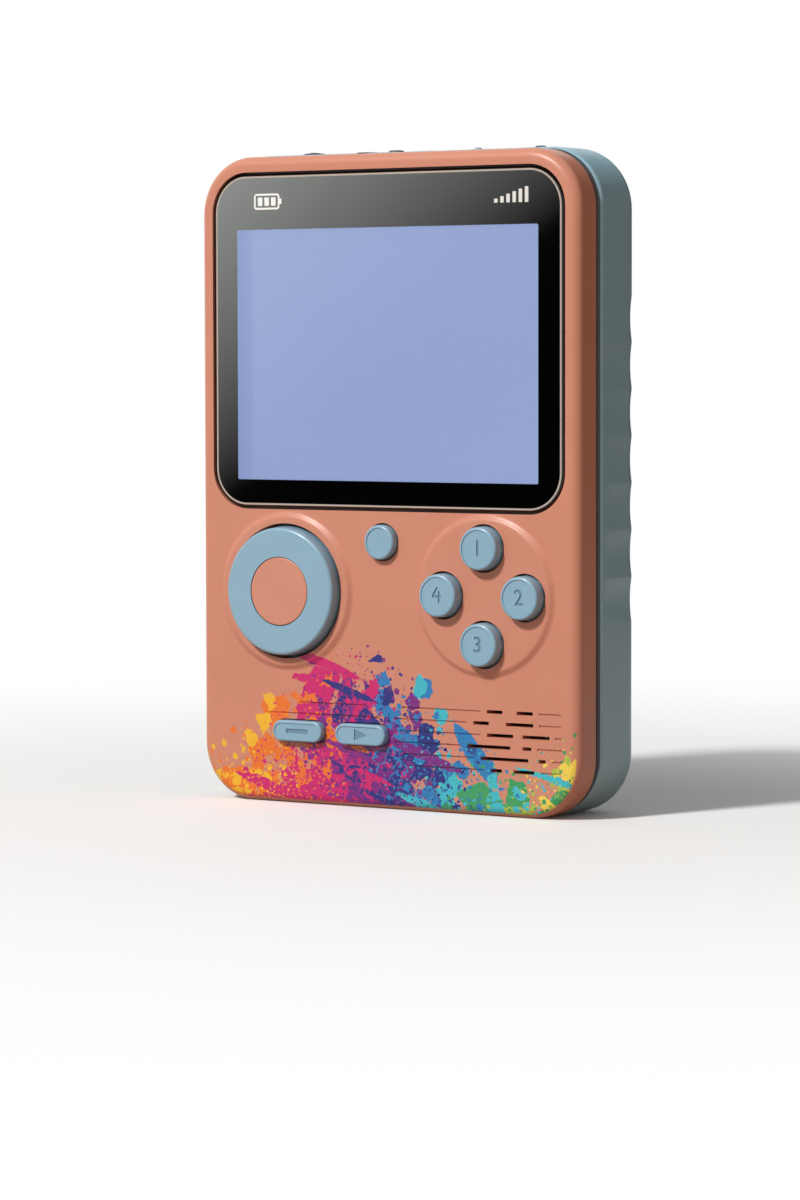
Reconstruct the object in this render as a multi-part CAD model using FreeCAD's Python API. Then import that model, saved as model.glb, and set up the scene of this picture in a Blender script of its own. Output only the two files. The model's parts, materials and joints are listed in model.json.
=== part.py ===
import FreeCAD, Part
import math
import os

# A pocket game console with a 3 inch screen: two moulded shells around a circuit board,
# with a rocking direction pad, seven push buttons, a volume wheel and a power slider.
# Sizes are in millimetres. X is to the right of the player, Z is up, and the player is at -Y.
# A "depth" is measured from the front face into the case.

# Case
case_width = 80.0
case_height = 116.0
case_depth = 20.0
corner_radius = 10.3
rear_proud = 0.45
front_edge_radius = 1.8
rear_edge_radius = 4.0
side_wall = 1.8
face_wall = 2.4
back_wall = 1.8
front_shell_depth = 6.0
seam_gap = 0.45
seam_round = 1.5
front_seam_round = 0.35
lip_reach = 1.05
lip_thickness = 0.8
lip_play = 0.15

# Screen
lens_side_margin = 3.05
lens_top_margin = 3.1
controls_height = 53.1
lens_corner_radius = 7.0
lens_thickness = 1.2
lens_bevel = 0.45
lens_gap = 0.3
lens_sink = 0.05
tape_thickness = 0.15
tape_width = 2.4
view_side_margin = 5.15
view_top_margin = 10.0
view_bottom_margin = 5.0
view_relief = 2.0
lcd_side_border = 4.2
lcd_end_border = 4.35
lcd_thickness = 2.9
lcd_frame_wall = 0.4
lcd_glass_thickness = 1.1
gasket_thickness = 0.2
gasket_width = 1.2
flex_width = 26.0
flex_thickness = 0.15
flex_length = 12.0

# Circuit board
board_front_depth = 5.8
board_thickness = 1.2
board_margin = 1.2
board_screw_clearance = 0.3
contact_radius = 1.5
contact_thickness = 0.06

# Raised rounds that carry the direction pad and the four round buttons
plateau_radius = 13.8
plateau_rise = 0.6
plateau_blend = 0.8

# Direction pad
pad_side_inset = 18.9
pad_z = 38.2
pad_top_radius = 11.4
pad_base_radius = 11.85
pad_proud = 2.0
pad_edge_round = 0.6
pad_hole_play = 0.3
pad_flange_radius = 13.2
pad_flange_thickness = 0.7
pad_rise_room = 1.0
pad_skin = 1.3
pad_hub_radius = 3.2
pad_foot_radius = 1.9
pad_foot_ring = 8.5
cap_radius = 6.1
cap_thickness = 1.2
cap_gap = 0.12
ball_radius = 1.6
ball_play = 0.06

# Four round buttons in a diamond
cluster_side_inset = 19.0
cluster_z = 38.4
cluster_spacing = 8.4
button_top_radius = 3.75
button_base_radius = 4.05
button_proud = 2.1
button_edge_round = 0.45
button_hole_play = 0.2
button_flange_width = 0.75
button_flange_thickness = 0.8
button_skin = 1.1
button_rim = 0.5
button_dish = 0.15
running_gap = 0.1

# Menu buttons: one small round, two pills
round_x = -0.5
round_z = 47.4
round_radius = 3.2
pill_z = 13.1
pill_left_x = -18.2
pill_right_x = -4.6
pill_length = 10.7
pill_height = 3.8
menu_proud = 1.4
menu_edge_round = 0.4

# Silicone keypads
sheet_thickness = 0.7
dome_wall = 0.35
dome_base_radius = 2.9
dome_top_radius = 2.1
dome_gap = 0.05
pad_sheet_radius = 13.0
cluster_sheet_radius = 13.4
round_sheet_radius = 4.4
pill_sheet_margin = 1.6

# Speaker and its slots
speaker_side_inset = 15.5
speaker_z = 14.0
speaker_radius = 9.0
speaker_flange = 1.6
speaker_depth = 4.1
speaker_fence = 1.0
speaker_fence_height = 2.0
speaker_play = 0.2
magnet_radius = 5.0
magnet_thickness = 1.6
slot_height = 0.62
slot_top_z = 18.3
slot_pitch = 2.05
groove_depth = 0.25
groove_height = 0.32
# Each row lists the slots as (start, end) along X from the speaker's centre, from the top row down.
slot_rows = (
    ((-3.2, 0.0), (2.9, 6.2)),
    ((-6.0, -2.8), (0.7, 6.3)),
    ((-3.2, 2.2), (4.1, 9.6)),
    ((-7.2, 1.6), (4.1, 5.9)),
    ((-4.5, 5.3), (7.4, 8.8)),
    ((-2.4, -0.1), (2.3, 6.5)),
)
# Each row lists the shallow decorative grooves in the same way.
groove_rows = (
    ((-42.9, -28.8), (-20.9, -4.6), (7.4, 11.9)),
    ((-49.5, -25.6), (-22.4, -7.4), (7.5, 11.9)),
    ((-21.3, -4.6), (10.7, 12.1)),
    ((-22.4, -8.6), (7.1, 12.1)),
    ((-20.5, -5.9), (10.1, 12.1)),
    ((-19.2, -3.8), (7.9, 11.9)),
)

# Case screws and their bosses
screw_side_inset = 6.2
screw_bottom_z = 6.4
screw_top_margin = 5.6
screw_middle_inset = 8.0
screw_middle_z = 49.9
boss_radius = 2.5
boss_joint_depth = 8.0
boss_joint_gap = 0.05
screw_radius = 1.0
screw_play = 0.05
screw_bite = 4.0
head_radius = 1.8
head_height = 1.3
head_seat_depth = 14.2
counterbore_radius = 2.1
shank_clearance_radius = 1.25

# Board screws
board_screw_side_inset = 4.8
board_screw_low_z = 22.0
board_screw_middle_z = 31.0
board_screw_top_inset = 11.6
board_screw_top_margin = 5.2
board_boss_radius = 2.0
board_head_radius = 1.6
board_head_height = 1.0
board_screw_bite = 2.6

# Scalloped finger grips on the rear shell's side corners
grip_pitch = 8.2
grip_width = 7.8
grip_depth = 0.27
grip_first_z = 37.6
grip_count = 7
grip_side_run = 5.0
grip_back_run = 2.0

# Battery, its bay and its door
battery_width = 34.0
battery_length = 53.0
battery_thickness = 5.6
battery_round = 1.0
battery_play = 0.4
bay_spring_room = 2.4
bay_wall = 2.0
bay_floor_wall = 1.0
bay_bottom_z = 24.0
door_thickness = 1.5
door_overlap = 1.5
door_gap = 0.15
door_corner_radius = 3.0
door_rest_gap = 0.1
hook_x = 10.0
hook_width = 6.0
hook_reach = 1.2
hook_thickness = 0.8
hook_inset = 0.7
thumb_radius = 7.0
thumb_depth = 1.0
thumb_reach = 3.2
door_rib_count = 5
door_rib_pitch = 1.6
door_rib_length = 14.0
door_rib_depth = 0.4
terminal_spacing = 5.0
terminal_width = 1.8
terminal_thickness = 0.3

# Volume wheel on the top edge
wheel_side_inset = 19.1
wheel_radius = 7.0
wheel_thickness = 1.8
wheel_proud = 0.35
wheel_depth = 8.2
wheel_notches = 26
wheel_notch_radius = 0.28
wheel_bore_radius = 2.05
wheel_slot_play = 0.35
pot_size = 8.0
pot_shaft_play = 0.05

# Power slider on the top edge
slider_x = -3.0
slider_travel = 3.0
slider_width = 2.2
slider_thickness = 1.8
slider_proud = 0.3
slider_foot_height = 0.9
slider_foot_margin = 0.8
slider_play = 0.15
switch_length = 8.8
switch_height = 3.4
switch_thickness = 3.2

# Sockets on the top edge
jack_x = -9.6
jack_body_width = 6.0
jack_body_thickness = 6.0
jack_body_length = 10.0
jack_nose_radius = 2.6
jack_nose_proud = 0.1
jack_bore_radius = 1.8
jack_bore_length = 11.5
charge_port_x = 9.0
player_port_side_inset = 19.2
port_width = 7.6
port_thickness = 2.8
port_length = 5.6
port_metal = 0.3
port_chamfer = 0.9
port_sink = 0.4
port_play = 0.3
port_tongue_thickness = 0.6
port_raise = 0.8
light_x = 14.2
light_radius = 0.8
light_proud = 0.3
light_play = 0.1
reset_side_inset = 12.9
reset_radius = 1.0
reset_proud = 0.25
reset_play = 0.12
reset_travel = 0.3
reset_flange_width = 0.6
reset_flange_height = 0.7
tact_width = 4.4
tact_height = 2.6
small_part_depth = 8.6
inside_gap = 0.4

# Places that follow from the sizes above
front_overhang = plateau_rise + button_proud
face_y = front_overhang - (case_depth + front_overhang) / 2
middle_z = case_height / 2
half_width = case_width / 2
rear_width = case_width + 2 * rear_proud
rear_top_z = case_height + rear_proud
rear_corner_radius = corner_radius + rear_proud
lens_width = case_width - 2 * lens_side_margin
lens_height = case_height - lens_top_margin - controls_height
lens_z = controls_height + lens_height / 2
view_width = lens_width - 2 * view_side_margin
view_height = lens_height - view_top_margin - view_bottom_margin
lcd_width = view_width + 2 * lcd_side_border
lcd_height = view_height + 2 * lcd_end_border
pad_x = pad_side_inset - half_width
cluster_x = half_width - cluster_side_inset
speaker_x = half_width - speaker_side_inset
wheel_x = wheel_side_inset - half_width
player_port_x = half_width - player_port_side_inset
reset_x = half_width - reset_side_inset
view_z = lens_z + lens_height / 2 - view_top_margin - view_height / 2
lens_pocket_depth = lens_sink + lens_thickness + tape_thickness
board_back_depth = board_front_depth + board_thickness
inner_width = case_width - 2 * side_wall
inner_height = case_height - 2 * side_wall
inner_top_z = case_height - side_wall
rear_shell_start = front_shell_depth + seam_gap
gasket_depth = face_wall
lcd_front_depth = gasket_depth + gasket_thickness
lcd_back_depth = lcd_front_depth + lcd_thickness
sheet_depth = board_front_depth - sheet_thickness
button_flange_depth = face_wall + running_gap
button_foot_depth = button_flange_depth + button_flange_thickness + running_gap
pad_flange_depth = face_wall + pad_rise_room
pad_foot_depth = pad_flange_depth + pad_flange_thickness
ball_depth = board_front_depth - ball_play - ball_radius
door_depth = case_depth - door_thickness
bay_depth = door_depth - door_rest_gap
bay_width = battery_width + 2 * battery_play
bay_length = battery_length + bay_spring_room + battery_play
bay_z = bay_bottom_z + bay_length / 2
bay_floor_depth = door_depth - door_rest_gap - battery_play - battery_thickness
opening_width = bay_width + 2 * door_overlap
opening_height = bay_length + 2 * door_overlap
opening_bottom_z = bay_z - opening_height / 2
screw_rows = (
    (screw_side_inset, screw_bottom_z),
    (screw_middle_inset, screw_middle_z),
    (screw_side_inset, case_height - screw_top_margin),
)
case_screw_places = [(side * (half_width - inset), z) for inset, z in screw_rows for side in (-1, 1)]
board_screw_places = [
    (board_screw_side_inset - half_width, board_screw_low_z),
    (half_width - board_screw_side_inset, board_screw_low_z),
    (0, board_screw_middle_z),
    (board_screw_top_inset - half_width, case_height - board_screw_top_margin),
]
cluster_places = {
    "face_button_top": (cluster_x, cluster_z + cluster_spacing),
    "face_button_right": (cluster_x + cluster_spacing, cluster_z),
    "face_button_bottom": (cluster_x, cluster_z - cluster_spacing),
    "face_button_left": (cluster_x - cluster_spacing, cluster_z),
}
pad_foot_places = [
    (pad_x + pad_foot_ring * math.cos(math.radians(a)), pad_z + pad_foot_ring * math.sin(math.radians(a)))
    for a in (0, 90, 180, 270)
]
wheel_z = rear_top_z + wheel_proud - wheel_radius
jack_depth = board_back_depth + jack_body_thickness / 2
port_depth = board_back_depth + port_raise + port_thickness / 2
slider_depth = board_back_depth + switch_thickness / 2


def point(x, depth, z):
    return FreeCAD.Vector(x, face_y + depth, z)


def into_case(length):
    return FreeCAD.Vector(0, length, 0)


def rounded_outline(width, height, radius, x, depth, z):
    """A closed wire round a rectangle with round corners, in the plane at one depth."""
    w, h = width / 2, height / 2
    edges = []
    corners = ((w, h, 0), (-w, h, 90), (-w, -h, 180), (w, -h, 270))
    ends = []
    for cx, cz, start in corners:
        ox, oz = cx - math.copysign(radius, cx), cz - math.copysign(radius, cz)
        on_arc = [
            point(
                x + ox + radius * math.cos(math.radians(a)), depth,
                z + oz + radius * math.sin(math.radians(a)),
            )
            for a in (start, start + 45, start + 90)
        ]
        ends.append((on_arc[0], on_arc[2]))
        edges.append(Part.Arc(*on_arc).toShape())
    for i in range(4):
        a, b = ends[i][1], ends[(i + 1) % 4][0]
        if a.distanceToPoint(b) > 1e-6:
            edges.append(Part.LineSegment(a, b).toShape())
    return Part.Wire(Part.__sortEdges__(edges))


def plate(width, height, radius, x, z, depth, end_depth):
    """A slab with round corners between two depths."""
    wire = rounded_outline(width, height, radius, x, depth, z)
    return Part.Face(wire).extrude(into_case(end_depth - depth))


def frame(width, height, radius, border, x, z, depth, end_depth):
    outer = plate(width, height, radius, x, z, depth, end_depth)
    inner_radius = max(radius - border, 0.2)
    return outer.cut(plate(width - 2 * border, height - 2 * border, inner_radius, x, z, depth, end_depth))


def disc(radius, x, z, depth, end_depth):
    return Part.makeCylinder(radius, end_depth - depth, point(x, depth, z), FreeCAD.Vector(0, 1, 0))


def tube(outer, inner, x, z, depth, end_depth):
    return disc(outer, x, z, depth, end_depth).cut(disc(inner, x, z, depth, end_depth))


def cone(radius, end_radius, x, z, depth, end_depth):
    return Part.makeCone(radius, end_radius, end_depth - depth, point(x, depth, z), FreeCAD.Vector(0, 1, 0))


def box(x0, x1, depth, end_depth, z0, z1):
    return Part.makeBox(x1 - x0, end_depth - depth, z1 - z0, point(x0, depth, z0))


def pill(length, height, x, z, depth, end_depth):
    return plate(length, height, height / 2, x, z, depth, end_depth)


def turned(profile, x, z):
    """A solid of revolution about the depth axis through x, z, from (radius, depth) points."""
    wire = Part.makePolygon([point(x + r, d, z) for r, d in profile + [profile[0]]])
    return Part.Face(wire).revolve(point(x, 0, z), FreeCAD.Vector(0, 1, 0), 360)


def edges_at_depth(shape, depth):
    """The edges that lie wholly in the plane at one depth."""
    y = face_y + depth
    return [e for e in shape.Edges if abs(e.BoundBox.YMin - y) < 1e-4 and abs(e.BoundBox.YMax - y) < 1e-4]


def rounded_at(shape, depth, radius):
    return shape.makeFillet(radius, edges_at_depth(shape, depth))


def joined(first, *others):
    return first.fuse(list(others)).removeSplitter()


# Front shell


def plateau(x, z):
    """A low round with an S-shaped rim that flows into the front face."""
    half = plateau_blend
    rise = plateau_rise
    flat = plateau_radius - half
    foot = plateau_radius + half
    lift = rise / 2
    bulge = half * 0.55
    sink = face_wall / 2
    centre = [point(x, sink, z), point(x + foot, sink, z), point(x + foot, 0, z)]
    rim = Part.BezierCurve()
    rim.setPoles(
        [point(x + foot, 0, z), point(x + foot - bulge, 0, z),
         point(x + plateau_radius + bulge * 0.4, -lift * 0.3, z),
         point(x + plateau_radius, -lift, z), point(x + plateau_radius - bulge * 0.4, -lift * 1.7, z),
         point(x + flat + bulge, -rise, z), point(x + flat, -rise, z)]
    )
    lines = [Part.LineSegment(a, b).toShape() for a, b in zip(centre, centre[1:])]
    top = [Part.LineSegment(point(x + flat, -rise, z), point(x, -rise, z)).toShape()]
    axis = [Part.LineSegment(point(x, -rise, z), point(x, sink, z)).toShape()]
    wire = Part.Wire(lines + [rim.toShape()] + top + axis)
    return Part.Face(wire).revolve(point(x, 0, z), FreeCAD.Vector(0, 1, 0), 360)


def front_lip():
    """The thin lip inside the seam that locates the rear shell."""
    outer = side_wall - lip_thickness
    return frame(
        case_width - 2 * outer, case_height - 2 * outer, corner_radius - outer, lip_thickness,
        0, middle_z, front_shell_depth - side_wall, front_shell_depth + lip_reach,
    )


def screen_cuts():
    pocket = plate(
        lens_width + 2 * lens_gap, lens_height + 2 * lens_gap, lens_corner_radius + lens_gap,
        0, lens_z, -1, lens_pocket_depth,
    )
    window = plate(
        view_width + 2 * view_relief, view_height + 2 * view_relief, view_relief,
        0, view_z, 0, face_wall + 1,
    )
    return [pocket, window]


def button_holes():
    top = -plateau_rise - 1
    through = face_wall + 0.01
    holes = [disc(pad_base_radius + pad_hole_play, pad_x, pad_z, top, through)]
    for x, z in cluster_places.values():
        holes.append(disc(button_base_radius + button_hole_play, x, z, top, through))
    holes.append(disc(round_radius + button_hole_play, round_x, round_z, top, through))
    for x in (pill_left_x, pill_right_x):
        holes.append(
            pill(
                pill_length + 2 * button_hole_play, pill_height + 2 * button_hole_play, x, pill_z, top,
                through,
            ),
        )
    return holes


def grille_cuts():
    cuts = []
    for row, (slots, grooves) in enumerate(zip(slot_rows, groove_rows)):
        z = slot_top_z - row * slot_pitch
        for x0, x1 in slots:
            bar = (speaker_x + x0, speaker_x + x1, -1, face_wall + 1)
            cuts.append(box(*bar, z - slot_height / 2, z + slot_height / 2))
        for x0, x1 in grooves:
            bar = (speaker_x + x0, speaker_x + x1, -1, groove_depth)
            cuts.append(box(*bar, z - groove_height / 2, z + groove_height / 2))
    return cuts


def lcd_fences():
    """Short ribs on the inside of the face that keep the display from sliding."""
    rib, reach, length = 1.0, lcd_thickness, 8.0
    half_w = lcd_width / 2 + running_gap
    half_h = lcd_height / 2 + running_gap
    fences = []
    for side in (-1, 1):
        for dz in (-half_h / 2, half_h / 2):
            x0 = side * half_w
            x1 = side * (half_w + rib)
            z = view_z + dz
            fences.append(
                box(
                    min(x0, x1), max(x0, x1), face_wall - 0.2, face_wall + reach, z - length / 2,
                    z + length / 2,
                ),
            )
    for dx in (-half_w / 2, half_w / 2):
        z = view_z + half_h
        fences.append(box(dx - length / 2, dx + length / 2, face_wall - 0.2, face_wall + reach, z, z + rib))
    return fences


def front_shell():
    block = plate(case_width, case_height, corner_radius, 0, middle_z, 0, front_shell_depth)
    block = rounded_at(block, 0, front_edge_radius)
    block = rounded_at(block, front_shell_depth, front_seam_round)
    hollow = plate(
        inner_width, inner_height, corner_radius - side_wall, 0, middle_z, face_wall, front_shell_depth + 1
    )
    shell = block.cut(hollow)
    bosses = [disc(boss_radius, x, z, face_wall - 0.2, boss_joint_depth) for x, z in case_screw_places]
    bosses += [
        disc(board_boss_radius, x, z, face_wall - 0.2, board_front_depth) for x, z in board_screw_places
    ]
    fence = tube(
        speaker_radius + speaker_play + speaker_fence, speaker_radius + speaker_play,
        speaker_x, speaker_z, face_wall - 0.2, face_wall + speaker_fence_height,
    )
    into_wall = plate(
        case_width - side_wall, case_height - side_wall, corner_radius - side_wall / 2, 0, middle_z, 0,
        front_shell_depth,
    )
    clear_of_rear = plate(
        inner_width - 2 * inside_gap, inner_height - 2 * inside_gap, corner_radius - side_wall - inside_gap,
        0, middle_z, 0, case_depth,
    )
    inside = joined(into_wall, clear_of_rear)
    inner_parts = joined(bosses[0], *(bosses[1:] + [fence] + lcd_fences())).common(inside)
    shell = joined(shell, inner_parts, front_lip(), plateau(pad_x, pad_z), plateau(cluster_x, cluster_z))
    cuts = screen_cuts() + button_holes() + grille_cuts()
    for x, z in case_screw_places:
        cuts.append(
            disc(
                screw_radius + screw_play, x, z, boss_joint_depth - screw_bite - 0.5, boss_joint_depth + 1
            ),
        )
    for x, z in board_screw_places:
        cuts.append(
            disc(
                screw_radius + screw_play, x, z, board_front_depth - board_screw_bite - 0.2,
                board_front_depth + 1,
            ),
        )
    return shell.cut(cuts)


# Rear shell


def grip_cutter(side, z):
    """A long shallow scallop that wraps round the rear corner: two round bars, a bend and round ends."""
    radius = ((grip_width / 2) ** 2 + grip_depth ** 2) / (2 * grip_depth)
    stand_off = radius - grip_depth
    corner_x = rear_width / 2 - rear_edge_radius
    corner_depth = case_depth - rear_edge_radius
    bend = rear_edge_radius + stand_off
    side_x = rear_width / 2 + stand_off
    back_depth = case_depth + stand_off
    side_bar = Part.makeCylinder(
        radius, grip_side_run, point(side * side_x, corner_depth - grip_side_run, z), FreeCAD.Vector(0, 1, 0)
    )
    back_bar = Part.makeCylinder(
        radius, grip_back_run, point(side * corner_x, back_depth, z), FreeCAD.Vector(-side, 0, 0)
    )
    ring = Part.makeTorus(bend, radius, point(side * corner_x, corner_depth, z), FreeCAD.Vector(0, 0, 1))
    x0, x1 = sorted((side * corner_x, side * (corner_x + bend + radius + 1)))
    quarter = box(x0, x1, corner_depth, back_depth + radius + 1, z - radius - 1, z + radius + 1)
    ends = [
        Part.makeSphere(radius, point(side * side_x, corner_depth - grip_side_run, z)),
        Part.makeSphere(radius, point(side * (corner_x - grip_back_run), back_depth, z)),
    ]
    return [side_bar, back_bar, ring.common(quarter)] + ends


def battery_bay():
    """The walled tray inside the back that holds the battery."""
    outer_w, outer_l = bay_width + 2 * bay_wall, bay_length + 2 * bay_wall
    return plate(
        outer_w, outer_l, bay_wall, 0, bay_z, bay_floor_depth - bay_floor_wall, case_depth - back_wall
    )


def bay_cuts():
    room = plate(bay_width, bay_length, 0.5, 0, bay_z, bay_floor_depth, case_depth + 1)
    opening = plate(opening_width, opening_height, door_corner_radius, 0, bay_z, bay_depth, case_depth + 1)
    cuts = [room, opening]
    for side in (-1, 1):
        x0 = side * hook_x - hook_width / 2 - door_gap
        z1 = opening_bottom_z + 0.01
        reach = hook_reach + 3 * door_gap
        swing = hook_inset + hook_thickness + hook_reach + door_gap
        cuts.append(box(
            x0, x0 + hook_width + 2 * door_gap, case_depth - hook_inset - hook_thickness - swing / 2,
            case_depth - hook_inset + door_gap, z1 - reach, z1,
        ))
        cuts.append(box(
            x0, x0 + hook_width + 2 * door_gap, case_depth - hook_inset - hook_thickness - swing / 2,
            bay_depth + 0.01, z1 - 0.02, z1 + door_overlap + 0.1,
        ))
    thumb = disc(
        thumb_radius, 0, opening_bottom_z + opening_height - thumb_radius + thumb_reach,
        case_depth - thumb_depth, case_depth + 1,
    )
    cuts.append(thumb)
    top = bay_z + bay_length / 2
    for i in (-1, 0, 1):
        x = i * terminal_spacing
        half = terminal_width / 2 + 0.2
        cuts.append(
            box(
                x - half, x + half, bay_floor_depth - bay_floor_wall - 1, bay_floor_depth + 0.01,
                top - bay_spring_room, top - 0.2,
            ),
        )
    return cuts


def port_outline(width, thickness, chamfer, x, depth, z):
    """The six-sided mouth of a small power socket, in the plane at one height."""
    w, t = width / 2, thickness / 2
    corners = [(-w, -t), (w, -t), (w, t - chamfer), (w - chamfer, t), (-w + chamfer, t), (-w, t - chamfer)]
    return Part.makePolygon([point(x + a, depth + b, z) for a, b in corners + corners[:1]])


def port_block(grow, x, z0, z1):
    wire = port_outline(port_width + 2 * grow, port_thickness + 2 * grow, port_chamfer, x, port_depth, z0)
    return Part.Face(wire).extrude(FreeCAD.Vector(0, 0, z1 - z0))


def top_edge_cuts():
    z0, z1 = inner_top_z - 1, rear_top_z + 1
    nose = Part.makeCylinder(jack_nose_radius + 0.15, z1 - z0, point(jack_x, jack_depth, z0))
    wheel = disc(wheel_radius + wheel_slot_play, wheel_x, wheel_z, wheel_depth - wheel_slot_play,
                 wheel_depth + wheel_thickness + wheel_slot_play)
    half = slider_width / 2 + slider_play
    reach = slider_thickness / 2 + slider_play
    slot = box(
        slider_x - half, slider_x + slider_travel + half, slider_depth - reach, slider_depth + reach, z0, z1
    )
    ports = [port_block(port_play, x, z0, z1) for x in (charge_port_x, player_port_x)]
    light = Part.makeCylinder(light_radius + light_play, z1 - z0, point(light_x, small_part_depth, z0))
    reset = Part.makeCylinder(reset_radius + reset_play, z1 - z0, point(reset_x, small_part_depth, z0))
    return [nose, wheel, slot, light, reset] + ports


def rear_shell():
    block = plate(
        rear_width, rear_top_z, rear_corner_radius, 0, rear_top_z / 2, rear_shell_start, case_depth
    )
    block = rounded_at(block, case_depth, rear_edge_radius)
    block = rounded_at(block, rear_shell_start, seam_round)
    scallops = []
    for i in range(grip_count):
        for side in (-1, 1):
            scallops += grip_cutter(side, grip_first_z + i * grip_pitch)
    block = block.cut(scallops)
    hollow = plate(
        inner_width, inner_height, corner_radius - side_wall, 0, middle_z, rear_shell_start - 1,
        case_depth - back_wall
    )
    hollow = rounded_at(hollow, case_depth - back_wall, rear_edge_radius - side_wall)
    rebate_wall = side_wall - lip_thickness - lip_play
    rebate = plate(
        case_width - 2 * rebate_wall, case_height - 2 * rebate_wall, corner_radius - rebate_wall,
        0, middle_z, rear_shell_start - 1, front_shell_depth + lip_reach + lip_play,
    )
    shell = block.cut([hollow, rebate])
    boss_start = boss_joint_depth + boss_joint_gap
    bosses = [
        disc(boss_radius + 0.4, x, z, boss_start, case_depth - back_wall + 0.2)
        for x, z in case_screw_places
    ]
    envelope = plate(case_width - side_wall, case_height - side_wall, corner_radius - side_wall / 2,
                     0, middle_z, rear_shell_start + 2 * seam_round, case_depth - back_wall / 2)
    envelope = rounded_at(envelope, case_depth - back_wall / 2, rear_edge_radius - side_wall / 2)
    inner_parts = joined(bosses[0], *bosses[1:]).common(envelope)
    shell = joined(shell, inner_parts, battery_bay())
    cuts = bay_cuts() + top_edge_cuts()
    for x, z in case_screw_places:
        cuts.append(disc(counterbore_radius, x, z, head_seat_depth, case_depth + 1))
        cuts.append(disc(shank_clearance_radius, x, z, boss_start - 1, head_seat_depth + 0.01))
    return shell.cut(cuts)


# Screen stack


def screen_lens():
    lens = plate(
        lens_width, lens_height, lens_corner_radius, 0, lens_z, lens_sink, lens_sink + lens_thickness
    )
    return lens.makeChamfer(lens_bevel, edges_at_depth(lens, lens_sink))


def lens_tape():
    start = lens_sink + lens_thickness
    return frame(
        lens_width - 1, lens_height - 1, lens_corner_radius - 0.5, tape_width, 0, lens_z, start,
        start + tape_thickness,
    )


def lcd_gasket():
    return frame(
        view_width + 2 * view_relief + 2 * gasket_width, view_height + 2 * view_relief + 2 * gasket_width,
        1.0, gasket_width, 0, view_z, gasket_depth, gasket_depth + gasket_thickness,
    )


def lcd_frame():
    """The pressed tray round the display's back and sides."""
    tray = plate(lcd_width, lcd_height, 1.0, 0, view_z, lcd_front_depth, lcd_back_depth)
    room = plate(
        lcd_width - 2 * lcd_frame_wall, lcd_height - 2 * lcd_frame_wall, 0.6,
        0, view_z, lcd_front_depth - 1, lcd_back_depth - lcd_frame_wall,
    )
    slot_z = view_z - lcd_height / 2
    slot = box(-flex_width / 2 - 0.3, flex_width / 2 + 0.3, flex_start_depth() - 0.2,
               flex_start_depth() + flex_thickness + 0.2, slot_z - 1, slot_z + 1)
    return tray.cut([room, slot])


def flex_start_depth():
    return lcd_back_depth - lcd_frame_wall - 0.35


def lcd_panel():
    play = lcd_frame_wall + running_gap / 2
    return plate(
        lcd_width - 2 * play, lcd_height - 2 * play, 0.5, 0, view_z, lcd_front_depth,
        lcd_front_depth + lcd_glass_thickness
    )


def lcd_backlight():
    play = lcd_frame_wall + running_gap / 2
    return plate(
        lcd_width - 2 * play, lcd_height - 2 * play, 0.5,
        0, view_z, lcd_front_depth + lcd_glass_thickness, flex_start_depth() - 0.2,
    )


def lcd_flex_cable():
    """The display's ribbon: out of the lower edge, round a tight fold and up the board."""
    start = flex_start_depth()
    end = board_front_depth - flex_thickness
    fold = (end + flex_thickness - start) / 2
    inner = fold - flex_thickness
    edge_z = view_z - lcd_height / 2
    fold_z = edge_z - 0.5

    def arc(radius):
        middle = start + fold
        return (
            point(0, middle - radius, fold_z), point(0, middle, fold_z - radius),
            point(0, middle + radius, fold_z),
        )

    a, b = arc(fold), arc(inner)
    up_z = edge_z + flex_length
    in_z = edge_z + lcd_frame_wall + 0.6
    wire = Part.Wire([
        Part.LineSegment(point(0, start, in_z), a[0]).toShape(),
        Part.Arc(*a).toShape(),
        Part.LineSegment(a[2], point(0, end + flex_thickness, up_z)).toShape(),
        Part.LineSegment(point(0, end + flex_thickness, up_z), point(0, end, up_z)).toShape(),
        Part.LineSegment(point(0, end, up_z), b[2]).toShape(),
        Part.Arc(b[2], b[1], b[0]).toShape(),
        Part.LineSegment(b[0], point(0, start + flex_thickness, in_z)).toShape(),
        Part.LineSegment(point(0, start + flex_thickness, in_z), point(0, start, in_z)).toShape(),
    ])
    strip = Part.Face(wire).extrude(FreeCAD.Vector(flex_width, 0, 0))
    strip.translate(FreeCAD.Vector(-flex_width / 2, 0, 0))
    return strip


def lcd_tape_strips():
    """Two foam strips between the display's back and the board."""
    strips = [
        plate(
            6.0, lcd_height - 10, 1.0, side * (lcd_width / 2 - 7), view_z, lcd_back_depth,
            board_front_depth,
        )
        for side in (-1, 1)
    ]
    return Part.makeCompound(strips)


# Direction pad


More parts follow.
